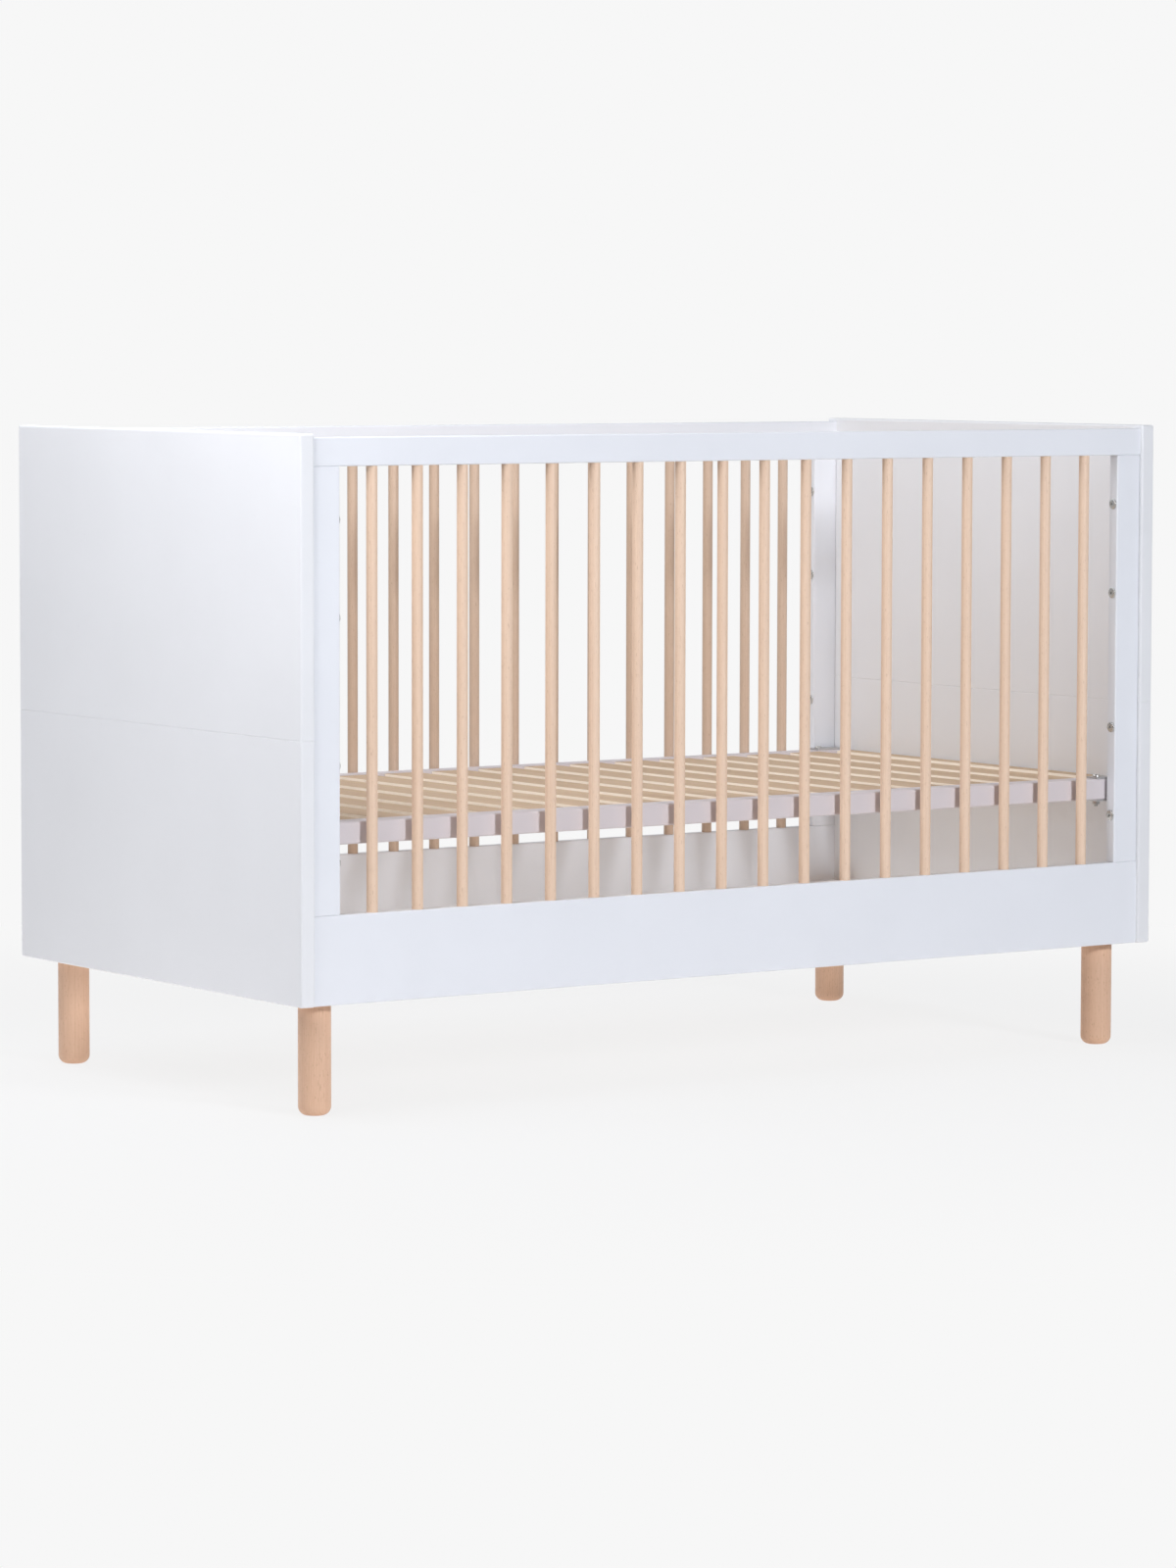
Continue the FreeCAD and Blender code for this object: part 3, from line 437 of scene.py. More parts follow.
@dataclass(frozen=True)
class Timber:
    """A wood with its rings, fibres and flecks, and the way its pieces are laid out.

    Each piece has one piece_room to itself, and with it a pith of its own. Faces that look left or right
    take a share of the lighter side colour: a painted highlight for the light that falls on them.
    """

    name: str
    pale: Colour
    dark: Colour
    fleck: Colour
    grain: Axis = Axis.UP
    first_piece: Point = (0.0, 0.0, 0.0)
    piece_room: Point = (10.0, 10.0, 10.0)
    pith: Point = (0.05, 0.03, 0.0)
    pith_swing: Point = (0.08, 0.08, 0.0)
    ring_width: float = 2.6 * MM
    ring_share: float = 0.5
    wobble: float = 5.0 * MM
    fibres: float = 1500.0
    fibre_share: float = 0.35
    flecks: float = 900.0
    fleck_share: float = 0.45
    tone_share: float = 0.35
    relief: float = 0.06 * MM
    gloss: Span = (0.42, 0.58)
    edge_reach: float = 1.2 * MM
    edge_share: float = 0.15
    # painted highlight: the lighter colour drawn on faces that look left or right, for the light that falls
    # on them
    side: Colour = (0.97, 0.86, 0.72)
    painted_side_light_share: float = 0.0
    shine: float = 0.5

    def material(self) -> bpy.types.Material:
        """Makes the finish.

        Returns:
            Its material.
        """
        material, maker, shader = new_material(self.name)
        place = maker.add("TexCoord").outputs["Object"]
        moved = maker.vector("SUBTRACT", place, self.first_piece)
        back_turn = self.grain.turn().inverted().to_euler()
        turned = maker.add("Mapping", {"Vector": moved, "Rotation": back_turn}).outputs[0]
        wood = WOOD.place(
            maker, Vector=turned, Piece_Room=self.piece_room, Pith=self.pith, Pith_Swing=self.pith_swing,
            Ring_Width=self.ring_width, Wobble=self.wobble, Fibres=self.fibres, Flecks=self.flecks,
        )
        edge = EDGES.place(maker, Vector=place, Reach=self.edge_reach)["Edge"]
        tone = maker.maths("MULTIPLY", wood["Tone"], self.tone_share)
        body = maker.mix(tone, self.pale, shade(self.dark, 1.06))
        ringed = maker.mix(maker.maths("MULTIPLY", wood["Rings"], self.ring_share), body, self.dark)
        streak = maker.spread(wood["Fibres"], 0.35, 0.72)
        streaked = maker.mix(maker.maths("MULTIPLY", streak, self.fibre_share), ringed, self.dark)
        flecked = maker.mix(maker.maths("MULTIPLY", wood["Flecks"], self.fleck_share), streaked, self.fleck)
        edges_wear_and_shade_mixed = maker.mix(maker.maths("MULTIPLY", edge, self.edge_share), flecked, shade(self.pale, 1.1))
        # painted highlight: faces that look left or right take the lighter side colour
        normal = maker.add("NewGeometry").outputs["Normal"]
        sideways = maker.maths("ABSOLUTE", maker.add("SeparateXYZ", {"Vector": normal}).outputs["X"])
        painted_side_light = maker.mix(maker.spread(sideways, 0.2, 0.9, (0.0, self.painted_side_light_share)), edges_wear_and_shade_mixed, self.side)
        maker.feed(shader.inputs["Base Color"], painted_side_light)
        maker.feed(shader.inputs["Roughness"], maker.spread(wood["Fibres"], 0.2, 0.8, self.gloss))
        height = maker.maths("MULTIPLY_ADD", wood["Rings"], 0.4, wood["Fibres"])
        bump = maker.add("Bump", {"Height": height, "Distance": self.relief, "Strength": 0.7})
        maker.feed(shader.inputs["Normal"], bump.outputs["Normal"])
        shader.inputs["IOR"].default_value = 1.48
        shader.inputs["Specular IOR Level"].default_value = self.shine
        return material


@dataclass(frozen=True)
class Zinc:
    """Zinc-plated steel, bright on turned parts and dull on pressed ones."""

    name: str
    colour: Colour
    gloss: Span = (0.22, 0.38)
    spangle: float = 500.0
    pores: float = 2400.0
    pore_depth: float = 0.02 * MM
    specks: float = 1400.0
    edge_reach: float = 0.5 * MM

    def material(self) -> bpy.types.Material:
        """Makes the finish.

        Returns:
            Its material.
        """
        material, maker, shader = new_material(self.name)
        place = maker.add("TexCoord").outputs["Object"]
        skin = SKIN.place(maker, Vector=place, Peel=self.pores, Cloud=self.spangle, Specks=self.specks)
        edge = EDGES.place(maker, Vector=place, Reach=self.edge_reach)["Edge"]
        plated = maker.mix(skin["Cloud"], shade(self.colour, 0.82), shade(self.colour, 1.15))
        dulled = maker.mix(maker.maths("MULTIPLY", skin["Specks"], 0.5), plated, shade(self.colour, 0.5))
        edges_wear_and_shade_mixed = maker.mix(maker.maths("MULTIPLY", edge, 0.6), dulled, shade(self.colour, 1.4))
        maker.feed(shader.inputs["Base Color"], edges_wear_and_shade_mixed)
        maker.feed(shader.inputs["Roughness"], maker.spread(skin["Cloud"], 0.2, 0.8, self.gloss))
        shader.inputs["Metallic"].default_value = 1.0
        bump = maker.add("Bump", {"Height": skin["Peel"], "Distance": self.pore_depth, "Strength": 0.5})
        maker.feed(shader.inputs["Normal"], bump.outputs["Normal"])
        return material


def dress(nodes: Iterable[str], material: bpy.types.Material) -> None:
    """Gives pieces that came with the frame their finish.

    Args:
        nodes: Their names.
        material: The finish.
    """
    for name in nodes:
        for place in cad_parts[name].material_slots:
            place.material = material


# ---------------------------------------------------------------- turned fittings


class Turned:
    """A closed shape made of rings about the Z axis, each bridged to the one before it."""

    def __init__(self, segments: int = 48) -> None:
        """Starts an empty shape.

        Args:
            segments: Corners in each ring, a multiple of six.
        """
        self.mesh = bmesh.new()
        self.segments = segments
        self.last: list[bmesh.types.BMEdge] = []
        self.first: list[bmesh.types.BMEdge] = []

    def ring(self, reach: Callable[[float], tuple[float, float]]) -> None:
        """Adds a ring and joins it to the last one.

        Args:
            reach: Gives the radius and the height at an angle.
        """
        made = bmesh.ops.create_circle(self.mesh, segments=self.segments, radius=1.0)
        edges = {edge for vert in made["verts"] for edge in vert.link_edges}
        for vert in made["verts"]:
            radius, height = reach(math.atan2(vert.co.y, vert.co.x))
            vert.co = Vector((vert.co.x * radius, vert.co.y * radius, height))
        if self.last:
            bmesh.ops.bridge_loops(self.mesh, edges=[*self.last, *edges])
        else:
            self.first = list(edges)
        self.last = list(edges)

    def round(self, diameter: float, height: float) -> None:
        """Adds a round ring.

        Args:
            diameter: Its diameter.
            height: Its height.
        """
        self.ring(lambda angle: (diameter / 2, height))

    def hexagon(self, width: float, height: float, chamfer: float = 0.0) -> None:
        """Adds a six-sided ring, whose corners may be drawn down as a chamfer draws them.

        Args:
            width: Its size across the flats.
            height: Its height at the middle of a flat.
            chamfer: How far a corner is drawn down for each unit that it stands out, signed.
        """

        def reach(angle: float) -> tuple[float, float]:
            """Gives the radius and the height at an angle."""
            sixth = math.pi / 3
            radius = width / 2 / math.cos((angle % sixth) - sixth / 2)
            return radius, height - chamfer * (radius - width / 2)

        self.ring(reach)

    def thread(
        self, diameter: float, start: float, end: float, depth: float, pitch: float = 1.0 * MM
    ) -> None:
        """Adds the rings of a helical thread.

        Args:
            diameter: Its crest diameter, or its root's for a thread inside a bore.
            start: Where it starts.
            end: Where it ends.
            depth: How far it cuts in, negative inside a bore.
            pitch: The rise of one turn.
        """
        rings_per_turn = 6
        fading_rings = 4
        steps = max(rings_per_turn, round(abs(end - start) / pitch * rings_per_turn))
        for step in range(steps + 1):
            height = start + (end - start) * step / steps
            fade = min(1.0, step / fading_rings, (steps - step) / fading_rings)

            def reach(angle: float, height: float = height, fade: float = fade) -> tuple[float, float]:
                """Gives the radius and the height at an angle."""
                phase = (height / pitch - angle / math.tau) % 1.0
                cut = 1.0 - abs(2.0 * phase - 1.0)
                return diameter / 2 - depth * cut * fade, height

            self.ring(reach)

    def close(self) -> bmesh.types.BMesh:
        """Caps both ends and points the faces outwards.

        Returns:
            The finished shape.
        """
        bmesh.ops.holes_fill(self.mesh, edges=[*self.first, *self.last], sides=self.segments)
        bmesh.ops.recalc_face_normals(self.mesh, faces=self.mesh.faces[:])
        return self.mesh

    def join_ends(self) -> bmesh.types.BMesh:
        """Bridges the last ring to the first, for a piece with a bore, and points the faces outwards.

        Returns:
            The finished shape.
        """
        bmesh.ops.bridge_loops(self.mesh, edges=[*self.first, *self.last])
        bmesh.ops.recalc_face_normals(self.mesh, faces=self.mesh.faces[:])
        return self.mesh


@dataclass(frozen=True)
class SocketBolt:
    """A bolt with a low domed head and a hexagon socket; its seat is at zero and its shank goes down."""

    head: float
    rise: float
    shank: float
    length: float
    socket: float = 4 * MM
    threaded: float = 8 * MM

    def shape(self) -> bmesh.types.BMesh:
        """Builds the bolt from the floor of its socket to its tip.

        Returns:
            Its mesh, about the origin.
        """
        turned = Turned()
        socket_floor = self.rise * 0.25
        lip = 0.18 * MM
        turned.hexagon(self.socket * 0.6, socket_floor)
        turned.hexagon(self.socket, socket_floor)
        turned.hexagon(self.socket, self.rise - lip)
        turned.hexagon(self.socket + 2 * lip, self.rise)

        crown = max(self.head * 0.46, self.socket * 1.25)
        skirt = 0.42                    # the share of the head's height that is below its dome
        dome_steps = 8
        for step in range(dome_steps + 1):
            lean = math.pi / 2 * step / dome_steps
            width = crown + (self.head - crown) * math.sin(lean)
            turned.round(width, self.rise * (skirt + (1.0 - skirt) * math.cos(lean)))
        rim = 0.12 * MM
        turned.round(self.head, rim)
        turned.round(self.head - 2 * rim, 0.0)

        neck = 0.2 * MM
        tip = 0.5 * MM
        thread_depth = 0.5 * MM
        turned.round(self.shank + 2 * neck, 0.0)
        turned.round(self.shank, -neck)
        turned.round(self.shank, self.threaded - self.length)
        turned.thread(self.shank, self.threaded - self.length, tip - self.length, thread_depth)
        turned.round(self.shank - 1.4 * MM, -self.length)
        return turned.close()


@dataclass(frozen=True)
class HexNut:
    """A six-sided nut with turned corners; it stands on zero."""

    width: float
    height: float
    bore: float

    def shape(self) -> bmesh.types.BMesh:
        """Builds the nut round its bore.

        Returns:
            Its mesh, about the origin.
        """
        turned = Turned()
        lean = math.tan(math.radians(30))
        face = 0.05 * MM
        flat = self.width - 0.5 * MM    # the round face that the turned corners leave
        sink = 0.4 * MM
        turned.round(self.bore + 2 * sink, 0.0)
        turned.round(flat, 0.0)
        turned.hexagon(self.width, face, -lean)
        turned.hexagon(self.width, self.height - face, lean)
        turned.round(flat, self.height)
        turned.round(self.bore + 2 * sink, self.height)
        turned.round(self.bore, self.height - sink)
        turned.round(self.bore, sink)
        return turned.join_ends()


@dataclass(frozen=True)
class ThreadedInsert:
    """A bush with a hexagon drive at its mouth and a thread in its bore; its mouth is at zero."""

    diameter: float
    length: float
    bore: float
    drive: float = 6.2 * MM
    drive_depth: float = 3 * MM

    def shape(self) -> bmesh.types.BMesh:
        """Builds the bush from its mouth, down its outside, and back up its bore.

        Returns:
            Its mesh, about the origin.
        """
        turned = Turned()
        break_edge = 0.3 * MM
        turned.hexagon(self.drive + 2 * break_edge, 0.0)
        turned.round(self.diameter - 2 * break_edge, 0.0)
        turned.round(self.diameter, -break_edge)
        turned.round(self.diameter, break_edge - self.length)
        turned.round(self.diameter - 2 * break_edge, -self.length)
        turned.round(self.bore, -self.length)
        thread_depth = 0.3 * MM
        turned.thread(self.bore, -self.length, -self.drive_depth - thread_depth, -thread_depth)
        turned.hexagon(self.drive, -self.drive_depth)
        turned.hexagon(self.drive, -break_edge)
        return turned.join_ends()


@dataclass(frozen=True)
class Setting:
    """Where one fitting sits and which way it points."""

    place: Vector
    axis: Axis


def set_pieces(name: str, shape: bmesh.types.BMesh, settings: Sequence[Setting]) -> bpy.types.Object:
    """Copies one shape to every place and makes a single piece of them.

    Args:
        name: The piece's name.
        shape: The shape about the origin, used up here.
        settings: The places and directions.

    Returns:
        The piece, at the origin with its place in its mesh.
    """
    joined = bmesh.new()
    single = bpy.data.meshes.new(f"{name}_single")
    shape.to_mesh(single)
    shape.free()
    for setting in settings:
        start = len(joined.verts)
        joined.from_mesh(single)
        joined.verts.ensure_lookup_table()
        matrix = Matrix.Translation(setting.place) @ setting.axis.turn()
        bmesh.ops.transform(joined, matrix=matrix, verts=joined.verts[start:])
    mesh = bpy.data.meshes.new(name)
    joined.to_mesh(mesh)
    joined.free()
    bpy.data.meshes.remove(single)
    mesh.shade_smooth()
    mesh.set_sharp_from_angle(angle=SHARP_ANGLE)
    piece = bpy.data.objects.new(name, mesh)
    bpy.context.scene.collection.objects.link(piece)
    return piece


def finish_piece(
    piece: bpy.types.Object, material: bpy.types.Material, body: str, node: str
) -> None:
    """Gives a new piece its finish and its place in the frame.

    Args:
        piece: The piece.
        material: Its finish.
        body: The body that it rides on.
        node: The piece of the frame that it stands for.
    """
    piece.data.materials.append(material)
    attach(piece, body)
    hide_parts(node)


def shells(node: str) -> list[tuple[Vector, Vector]]:
    """Gives the box of every separate solid in one node of the frame.

    Args:
        node: The node's name.

    Returns:
        The lowest and highest corner of each, in order along X, then Y, then Z.
    """
    copy = bmesh.new()
    copy.from_mesh(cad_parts[node].data)
    bmesh.ops.remove_doubles(copy, verts=copy.verts[:], dist=0.01 * MM)
    waiting = set(copy.verts)
    boxes = []
    while waiting:
        stack = [waiting.pop()]
        corners = []
        while stack:
            vert = stack.pop()
            corners.append(vert.co)
            near = {edge.other_vert(vert) for edge in vert.link_edges} & waiting
            waiting -= near
            stack.extend(near)
        low = Vector(min(corner[axis] for corner in corners) for axis in range(3))
        high = Vector(max(corner[axis] for corner in corners) for axis in range(3))
        boxes.append((low, high))
    copy.free()
    return sorted(boxes, key=lambda box: tuple(round(part, 4) for part in box[0]))


def inward_settings(node: str, rise: float) -> tuple[list[Setting], float]:
    """Finds how fittings along X are set, with their heads to the middle of the crib.

    Args:
        node: The frame's node that holds the plain ones.
        rise: The height of a head, zero for a fitting without one.

    Returns:
        The places and directions, and the length behind the head.
    """
    boxes = shells(node)
    settings = []
    for low, high in boxes:
        middle = (low + high) / 2
        at_right = middle.x > 0
        seat = low.x + rise if at_right else high.x - rise
        axis = Axis.LEFT if at_right else Axis.RIGHT
        settings.append(Setting(Vector((seat, middle.y, middle.z)), axis))
    low, high = boxes[0]
    return settings, high.x - low.x - rise


def upright(box: tuple[Vector, Vector], height: float) -> Setting:
    """Sets an upright fitting in the middle of a box.

    Args:
        box: The box's lowest and highest corner.
        height: Where the fitting is seated.

    Returns:
        The place and direction.
    """
    middle = (box[0] + box[1]) / 2
    return Setting(Vector((middle.x, middle.y, height)), Axis.UP)


# ---------------------------------------------------------------- the crib


@dataclass
class EndPanels:
    """The two end panels, each of a lower and an upper board."""

    finish: Lacquer = Lacquer("panel lacquer", (0.85, 0.855, 0.868))
    boards: list[str] = field(default_factory=list)

    def build(self) -> None:
        """Finds the four boards."""
        self.boards = [f"{end}_end_{level}_board" for end in ENDS for level in ("lower", "upper")]

    def dress(self) -> None:
        """Lacquers the boards."""
        dress(self.boards, self.finish.material())
        LOG.info("end panels: %d boards lacquered", len(self.boards))


@dataclass
class SideFrames:
    """The front and back frames: rails, stiles and round beech bars."""

    finish: Lacquer = Lacquer("frame lacquer", (0.855, 0.87, 0.905))
    rails: list[str] = field(default_factory=list)
    bar_pitch: float = 0.0
    first_bar: float = 0.0
    # painted shade: the back row of bars is drawn this much darker than the front row
    back_row_shade: float = 0.77

    def build(self) -> None:
        """Finds the rails and stiles, and measures how the bars are spaced."""
        parts = ("top_rail", "bottom_rail", "left_stile", "right_stile")
        self.rails = [f"{side}_{part}" for side in SIDES for part in parts]
        bars = [(low + high) / 2 for low, high in shells("front_bars")]
        self.first_bar = bars[0].x
        self.bar_pitch = (bars[-1].x - bars[0].x) / (len(bars) - 1)

    def beech(self, name: str, tone: float) -> Timber:
        """Gives the bars' beech, with a pith of its own for each bar.

        Args:
            name: The finish's name.
            tone: How light this row of bars is drawn; below one it is painted shade.

        Returns:
            The timber.
        """
        return Timber(
            name,
            pale=shade((0.905, 0.69, 0.525), tone),
            dark=shade((0.69, 0.465, 0.315), tone),
            fleck=shade((0.50, 0.31, 0.19), tone),
            first_piece=(self.first_bar, 0.0, 0.0),
            piece_room=(self.bar_pitch, 0.5, 10.0),
            ring_share=0.42,
            fibre_share=0.30,
            fleck_share=0.35,
        )

    def dress(self) -> None:
        """Lacquers the frames and oils the bars."""
        dress(self.rails, self.finish.material())
        dress(["front_bars"], self.beech("front bar beech", 1.0).material())
        # painted shade: the back bars take a darker copy of the beech
        dress(["back_bars"], self.beech("back bar beech", self.back_row_shade).material())
        LOG.info("side frames: %d rails and stiles, bars %.1f mm apart", len(self.rails), self.bar_pitch / MM)


@dataclass
class Feet:
    """The four round beech feet, and the corner blocks that carry them."""

    leg: Timber = Timber(
        "leg beech",
        pale=(0.80, 0.535, 0.375),
        dark=(0.60, 0.355, 0.22),
        fleck=(0.42, 0.23, 0.13),
        piece_room=(0.5, 0.5, 10.0),
        pith=(0.03, 0.06, 0.0),
        ring_width=3.2 * MM,
        fleck_share=0.55,
    )
    raw: Timber = Timber(
        "raw beech",
        pale=(0.78, 0.58, 0.42),
        dark=(0.60, 0.40, 0.26),
        fleck=(0.45, 0.28, 0.17),
        grain=Axis.RIGHT,
        gloss=(0.66, 0.8),
        relief=0.1 * MM,
    )
    legs: list[str] = field(default_factory=list)
    blocks: list[str] = field(default_factory=list)

    def build(self) -> None:
        """Finds the feet and the blocks."""
        corners = [f"{side}_{end}" for side in SIDES for end in ENDS]
        self.legs = [f"leg_{corner}" for corner in corners]
        self.blocks = [f"corner_block_{corner}" for corner in corners]

    def dress(self) -> None:
        """Oils the feet and leaves the blocks and dowels raw."""
        dress(self.legs, self.leg.material())
        dress([*self.blocks, "seam_dowels", "side_frame_dowels", "base_dowels"], self.raw.material())
        LOG.info("feet: %d legs and %d corner blocks", len(self.legs), len(self.blocks))


@dataclass
class MattressBase:
    """The lift-out base: lacquered long rails, pine end rails and slats, and steel hook brackets."""

    rail_finish: Lacquer = Lacquer("base lacquer", (0.715, 0.655, 0.665), gloss=(0.42, 0.55))
    steel: Zinc = Zinc("bracket zinc", (0.60, 0.59, 0.58), gloss=(0.34, 0.5))
    slats: list[str] = field(default_factory=list)
    slat_pitch: float = 0.0
    first_slat: float = 0.0

    def build(self) -> None:
        """Finds the slats and measures how they are spaced."""
        self.slats = sorted(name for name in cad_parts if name.startswith("slat_"))
        middles = [sum(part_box(name), Vector()) / 2 for name in self.slats]
        self.first_slat = middles[0].x
        self.slat_pitch = (middles[-1].x - middles[0].x) / (len(middles) - 1)

    def pine(self, name: str, first: float, pitch: float) -> Timber:
        """Gives flat-sawn pine with the grain across the crib.

        Args:
            name: The finish's name.
            first: The middle of the first piece, along the crib.
            pitch: The room that each piece has along the crib.

        Returns:
            The timber, with a pith of its own for each piece.
        """
        return Timber(
            name,
            # pine colours set darker than the wood's own: partly real pine, partly painted shade on the
            # slats' tops
            pale=(0.66, 0.50, 0.35),
            dark=(0.49, 0.335, 0.215),
            fleck=(0.40, 0.26, 0.165),
            grain=Axis.BACK,
            first_piece=(first, 0.0, 0.38),
            piece_room=(pitch, 10.0, 10.0),
            pith=(0.0, 0.07, 0.0),
            pith_swing=(0.06, 0.05, 0.0),
            ring_width=4.2 * MM,
            ring_share=0.45,
            wobble=9.0 * MM,
            # painted highlight: the sides of the slats and end rails are drawn in the lighter side colour
            painted_side_light_share=1.0,
            gloss=(0.72, 0.88),
            shine=0.18,
            fibre_share=0.22,
            fleck_share=0.2,
            tone_share=0.45,
        )

    def dress(self) -> None:
        """Finishes the rails, slats and brackets."""
        dress([f"base_{side}_rail" for side in SIDES], self.rail_finish.material())
        dress([f"base_{end}_rail" for end in ENDS], self.pine("end rail pine", 0.0, 1.0).material())
        dress(self.slats, self.pine("slat pine", self.first_slat, self.slat_pitch).material())
        dress([f"base_bracket_{side}_{end}" for side in SIDES for end in ENDS], self.steel.material())
        LOG.info("mattress base: %d slats, %.1f mm apart", len(self.slats), self.slat_pitch / MM)


@dataclass
class Fittings:
    """The bolts, screws, nuts and inserts, modelled in place of the frame's plain ones."""

    bright: Zinc = Zinc("bright zinc", (0.62, 0.62, 0.60))
    bolt_diameter: float = 6 * MM
    side_head: float = 15 * MM
    side_rise: float = 2.4 * MM
    screw_head: float = 11 * MM
    screw_rise: float = 3.3 * MM
    made: list[tuple[bpy.types.Object, str, str, str]] = field(default_factory=list)

    def build(self) -> None:
        """Builds every group of fittings at the places of the frame's own."""
        self.build_side_bolts()
        self.build_level_screws()
        self.build_bracket_bolts()
        self.build_inserts()

    def build_side_bolts(self) -> None:
        """Builds the bolts that hold the sides to the end panels."""
        self.build_screws("connector_bolts", "side_bolts", self.side_head, self.side_rise)

    def build_level_screws(self) -> None:
        """Builds the screws that the mattress base hangs on."""
        self.build_screws("hanging_screws", "level_screws", self.screw_head, self.screw_rise)

    def build_screws(self, name: str, node: str, head: float, rise: float) -> None:
        """Builds screws of the standing frame whose heads point to the middle of the crib.

        Args:
            name: The new piece's name.
            node: The node that they stand for.
            head: The diameter of their heads.
            rise: The height of their heads.
        """
        settings, length = inward_settings(node, rise)
        screw = SocketBolt(head=head, rise=rise, shank=self.bolt_diameter, length=length)
        self.keep(name, screw.shape(), settings, CRIB_FRAME, node, "zinc_screws")

    def build_bracket_bolts(self) -> None:
        """Builds the bolts and nuts that clamp the brackets to the base rails."""
        boxes = shells("bracket_bolts")
        low, high = boxes[0]
        bolt = SocketBolt(
            head=self.screw_head,
            rise=self.screw_rise,
            shank=self.bolt_diameter,
            length=high.z - low.z - self.screw_rise,
            threaded=14 * MM,
        )
        settings = [upright(box, box[1].z - self.screw_rise) for box in boxes]
        self.keep("clamp_bolts", bolt.shape(), settings, MATTRESS_BASE, "bracket_bolts", "zinc_screws")

        boxes = shells("bracket_nuts")
        low, high = boxes[0]
        nut = HexNut(width=10 * MM, height=high.z - low.z, bore=self.bolt_diameter + 0.1 * MM)
        settings = [upright(box, box[0].z) for box in boxes]
        self.keep("clamp_nuts", nut.shape(), settings, MATTRESS_BASE, "bracket_nuts", "zinc_screws")

    def build_inserts(self) -> None:
        """Builds the inserts that the base's levels and the side bolts use."""
        for name, node in (("level_bushes", "level_inserts"), ("connector_bushes", "side_bolt_inserts")):
            settings, length = inward_settings(node, 0.0)
            bush = ThreadedInsert(diameter=10 * MM, length=length, bore=self.bolt_diameter + 0.2 * MM)
            self.keep(name, bush.shape(), settings, CRIB_FRAME, node, "zinc_insert")

    def keep(
        self, name: str, shape: bmesh.types.BMesh, settings: list[Setting], body: str, node: str, slot: str
    ) -> None:
        """Sets a shape in its places and remembers how it is finished.

        Args:
            name: The piece's name.
            shape: The shape about the origin.
            settings: Its places.
            body: The body that it rides on.
            node: The node that it stands for.
            slot: Its material slot, kept with the piece but not used.
        """
        piece = set_pieces(name, shape, settings)
        self.made.append((piece, body, node, slot))
        LOG.info("%s: %d pieces, %d faces", name, len(settings), len(piece.data.polygons))

    def dress(self) -> None:
        """Plates the fittings."""
        zinc = self.bright.material()
        for piece, body, node, slot in self.made:
            finish_piece(piece, zinc, body, node)
        dress(["block_screws", "leg_bolts", "leg_inserts"], zinc)


# ---------------------------------------------------------------- the studio


@dataclass(frozen=True)
class Softbox:
    """A square studio lamp."""

    name: str
    place: Point
    aim: Point
    size: float
    power: float
    colour: Colour = (1.0, 1.0, 1.0)

    def light(self) -> None:
        """Hangs the lamp."""
        data = bpy.data.lights.new(self.name, "AREA")
        data.shape = "SQUARE"
        data.size = self.size
        data.energy = self.power
        data.color = self.colour
        lamp = bpy.data.objects.new(self.name, data)
        lamp.location = self.place
        lamp.rotation_euler = (Vector(self.aim) - Vector(self.place)).to_track_quat("-Z", "Y").to_euler()
        lamp.visible_camera = False
        bpy.context.scene.collection.objects.link(lamp)


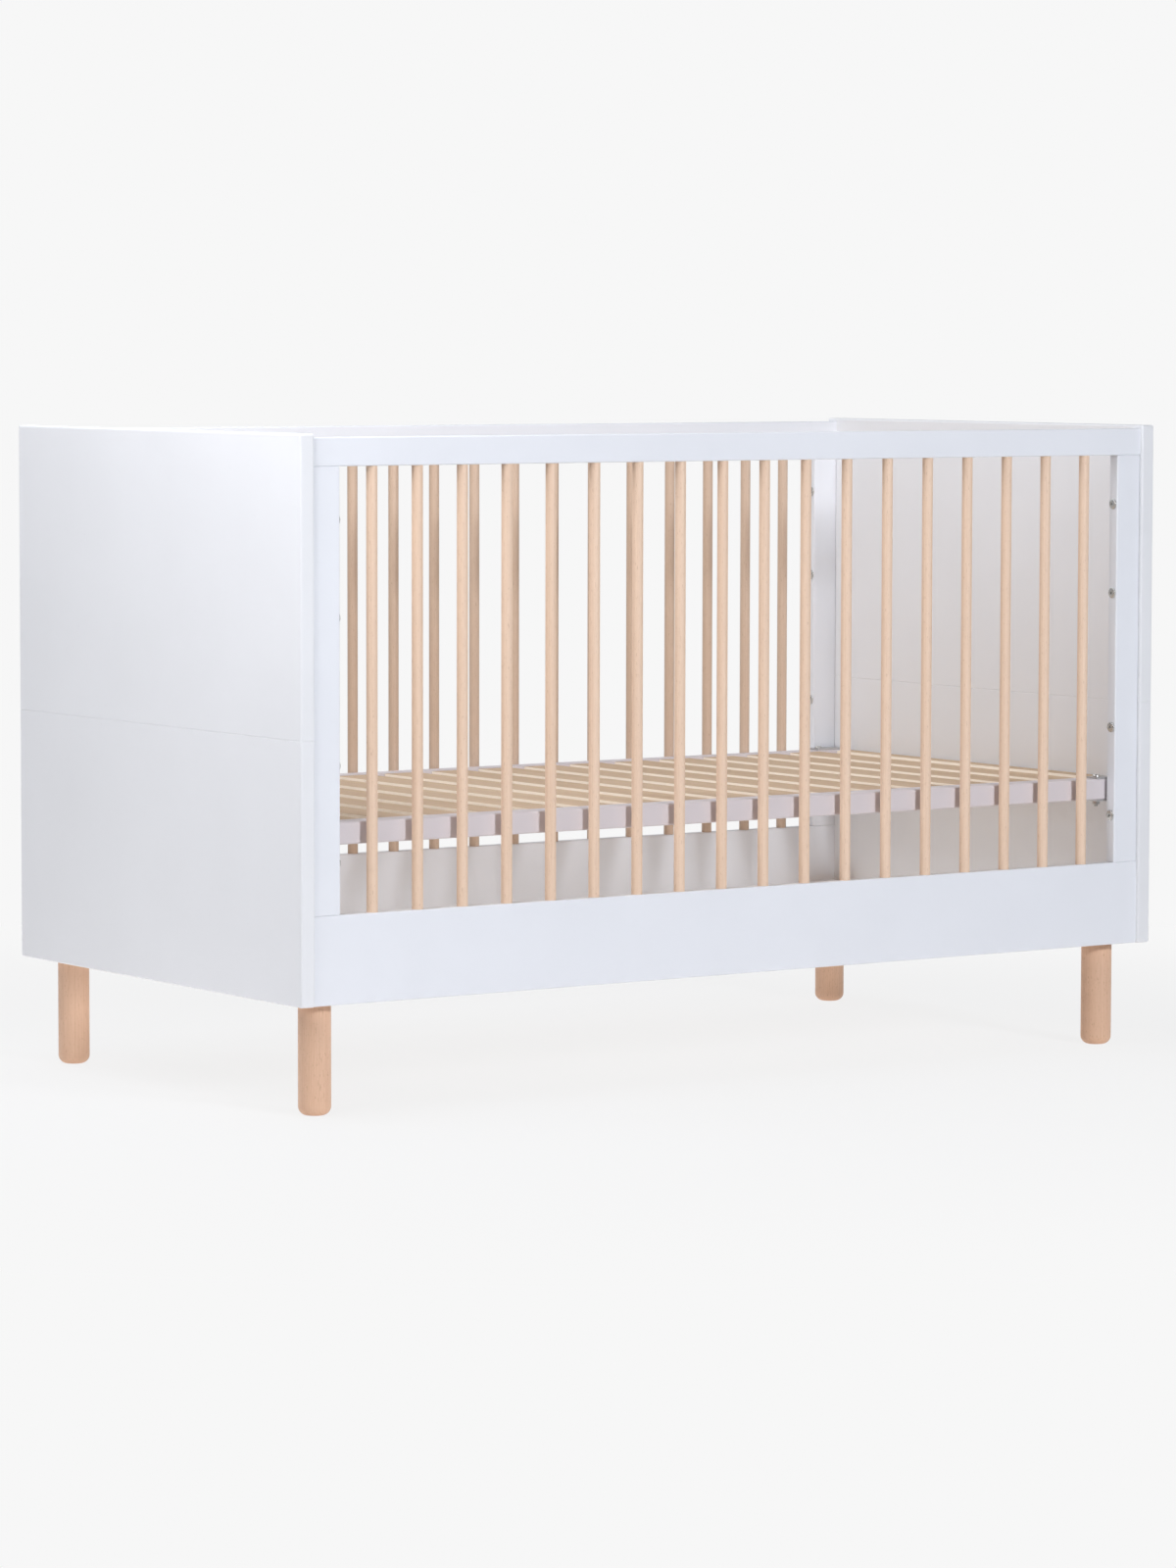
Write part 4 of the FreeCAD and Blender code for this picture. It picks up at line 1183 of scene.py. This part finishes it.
@dataclass(frozen=True)
class Studio:
    """The floor, the light all round, the lamps and the camera."""

    background: float = 0.93
    back_glow: Colour = (0.44, 0.47, 0.53)
    right_glow: Colour = (0.29, 0.285, 0.285)
    floor_glow: Colour = (0.46, 0.45, 0.45)
    floor_bounce: Colour = (0.68, 0.68, 0.68)
    floor_radius: float = 30.0
    floor_shadow: float = 0.12          # how much of the true floor the lens sees, near the crib
    floor_fade: Span = (0.8, 2.0)       # metres from the middle, where the backdrop takes over
    glow_start: Span = (-0.9, -0.1)     # along Y: no glow in front of the first, full glow behind the second
    camera_place: Point = (-4.5867, -6.5723, 1.0332)
    camera_heading: float = math.radians(34.859)
    camera_dip: float = math.radians(4.607)
    camera_roll: float = math.radians(0.118)
    lens: float = 129.0
    lamps: tuple[Softbox, ...] = (
        Softbox("front key", (0.5, -5.0, 2.0), (0.1, 0.0, 0.5), 0.65, 136.0, (0.96, 0.985, 1.045)),
        Softbox("left fill", (-1.8, -0.8, 1.35), (-0.7, -0.35, 0.65), 0.6, 9.0, (1.0, 1.0, 1.03)),
        Softbox("overhead left", (-1.2, -0.15, 2.3), (0.6, 0.1, 0.5), 1.3, 28.5, (0.985, 1.0, 1.05)),
        Softbox("overhead back", (0.0, 1.6, 2.2), (0.0, -0.2, 0.4), 1.6, 12.0, (1.0, 1.0, 1.0)),
    )

    def build(self) -> None:
        """Sets up the whole studio."""
        bpy.context.scene.view_settings.view_transform = "Standard"
        self.surround()
        self.floor()
        for lamp in self.lamps:
            lamp.light()
        self.camera()
        LOG.info("studio: floor, %d lamps and camera", len(self.lamps))

    def surround(self) -> None:
        """Makes the soft light behind and to the right, and the pale backdrop that the lens sees."""
        world = bpy.data.worlds.new("surround")
        world.use_nodes = True
        bpy.context.scene.world = world
        maker = NodeMaker(world.node_tree)
        backdrop = world.node_tree.nodes["Background"]
        seen = maker.add("LightPath").outputs["Is Camera Ray"]
        outwards = maker.add("TexCoord").outputs["Generated"]
        way = maker.add("SeparateXYZ", {"Vector": outwards}).outputs
        back = maker.vector("SCALE", self.back_glow, maker.maths("MAXIMUM", way["Y"], 0.0))
        right = maker.vector("SCALE", self.right_glow, maker.maths("MAXIMUM", way["X"], 0.0))
        colour = maker.mix(seen, maker.vector("ADD", back, right), (self.background,) * 3)
        maker.feed(backdrop.inputs["Color"], colour)

    def floor(self) -> None:
        """Lays a round pale floor."""
        shape = bmesh.new()
        bmesh.ops.create_circle(shape, cap_ends=True, segments=96, radius=self.floor_radius)
        mesh = bpy.data.meshes.new("floor")
        shape.to_mesh(mesh)
        shape.free()
        floor = bpy.data.objects.new("floor", mesh)
        bpy.context.scene.collection.objects.link(floor)
        mesh.materials.append(self.floor_material())

    def floor_material(self) -> bpy.types.Material:
        """Makes the floor's finish, which fades into the backdrop and throws light up under the crib.

        Returns:
            Its material.
        """
        material, maker, shader = new_material("pale floor")
        place = maker.add("TexCoord").outputs["Object"]
        seen = maker.add("LightPath").outputs["Is Camera Ray"]
        pale = maker.mix(maker.noise(place, 3.0, 3.0, 0.5), (0.86, 0.86, 0.86), (0.9, 0.9, 0.9))
        maker.feed(shader.inputs["Base Color"], maker.mix(seen, self.floor_bounce, pale))
        shader.inputs["Roughness"].default_value = 0.8

        backdrop = maker.add("Emission", {"Color": (self.background,) * 3})
        away = maker.spread(maker.vector("LENGTH", place), *self.floor_fade)
        share = maker.maths("MULTIPLY_ADD", away, self.floor_shadow, 1.0 - self.floor_shadow)
        shown = maker.add("MixShader", {0: share, 1: shader.outputs[0], 2: backdrop.outputs[0]})

        depth = maker.add("SeparateXYZ", {"Vector": place}).outputs["Y"]
        behind = maker.spread(depth, *self.glow_start)
        bounce = maker.add("Emission", {"Color": self.floor_glow, "Strength": behind})
        unseen = maker.add("AddShader", {0: shader.outputs[0], 1: bounce.outputs[0]})

        both = maker.add("MixShader", {0: seen, 1: unseen.outputs[0], 2: shown.outputs[0]})
        output = material.node_tree.nodes["Material Output"]
        maker.feed(output.inputs["Surface"], both.outputs[0])
        return material

    def camera(self) -> None:
        """Stands the camera in front of the crib's left corner."""
        data = bpy.data.cameras.new("camera")
        data.lens = self.lens
        camera = bpy.data.objects.new("camera", data)
        heading = Matrix.Rotation(-self.camera_heading, 4, "Z")
        dip = Matrix.Rotation(math.pi / 2 - self.camera_dip, 4, "X")
        roll = Matrix.Rotation(self.camera_roll, 4, "Z")
        camera.matrix_world = Matrix.Translation(self.camera_place) @ heading @ dip @ roll
        bpy.context.scene.collection.objects.link(camera)
        bpy.context.scene.camera = camera


def main() -> None:
    """Builds and dresses the crib's sub-assemblies in order, then the studio, and notes the sizes."""
    logging.basicConfig(level=logging.INFO, format="%(message)s")
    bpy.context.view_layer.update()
    for part in (EndPanels(), SideFrames(), Feet(), MattressBase(), Fittings()):
        part.build()
        part.dress()
    Studio().build()


if __name__ == "__main__":
    main()
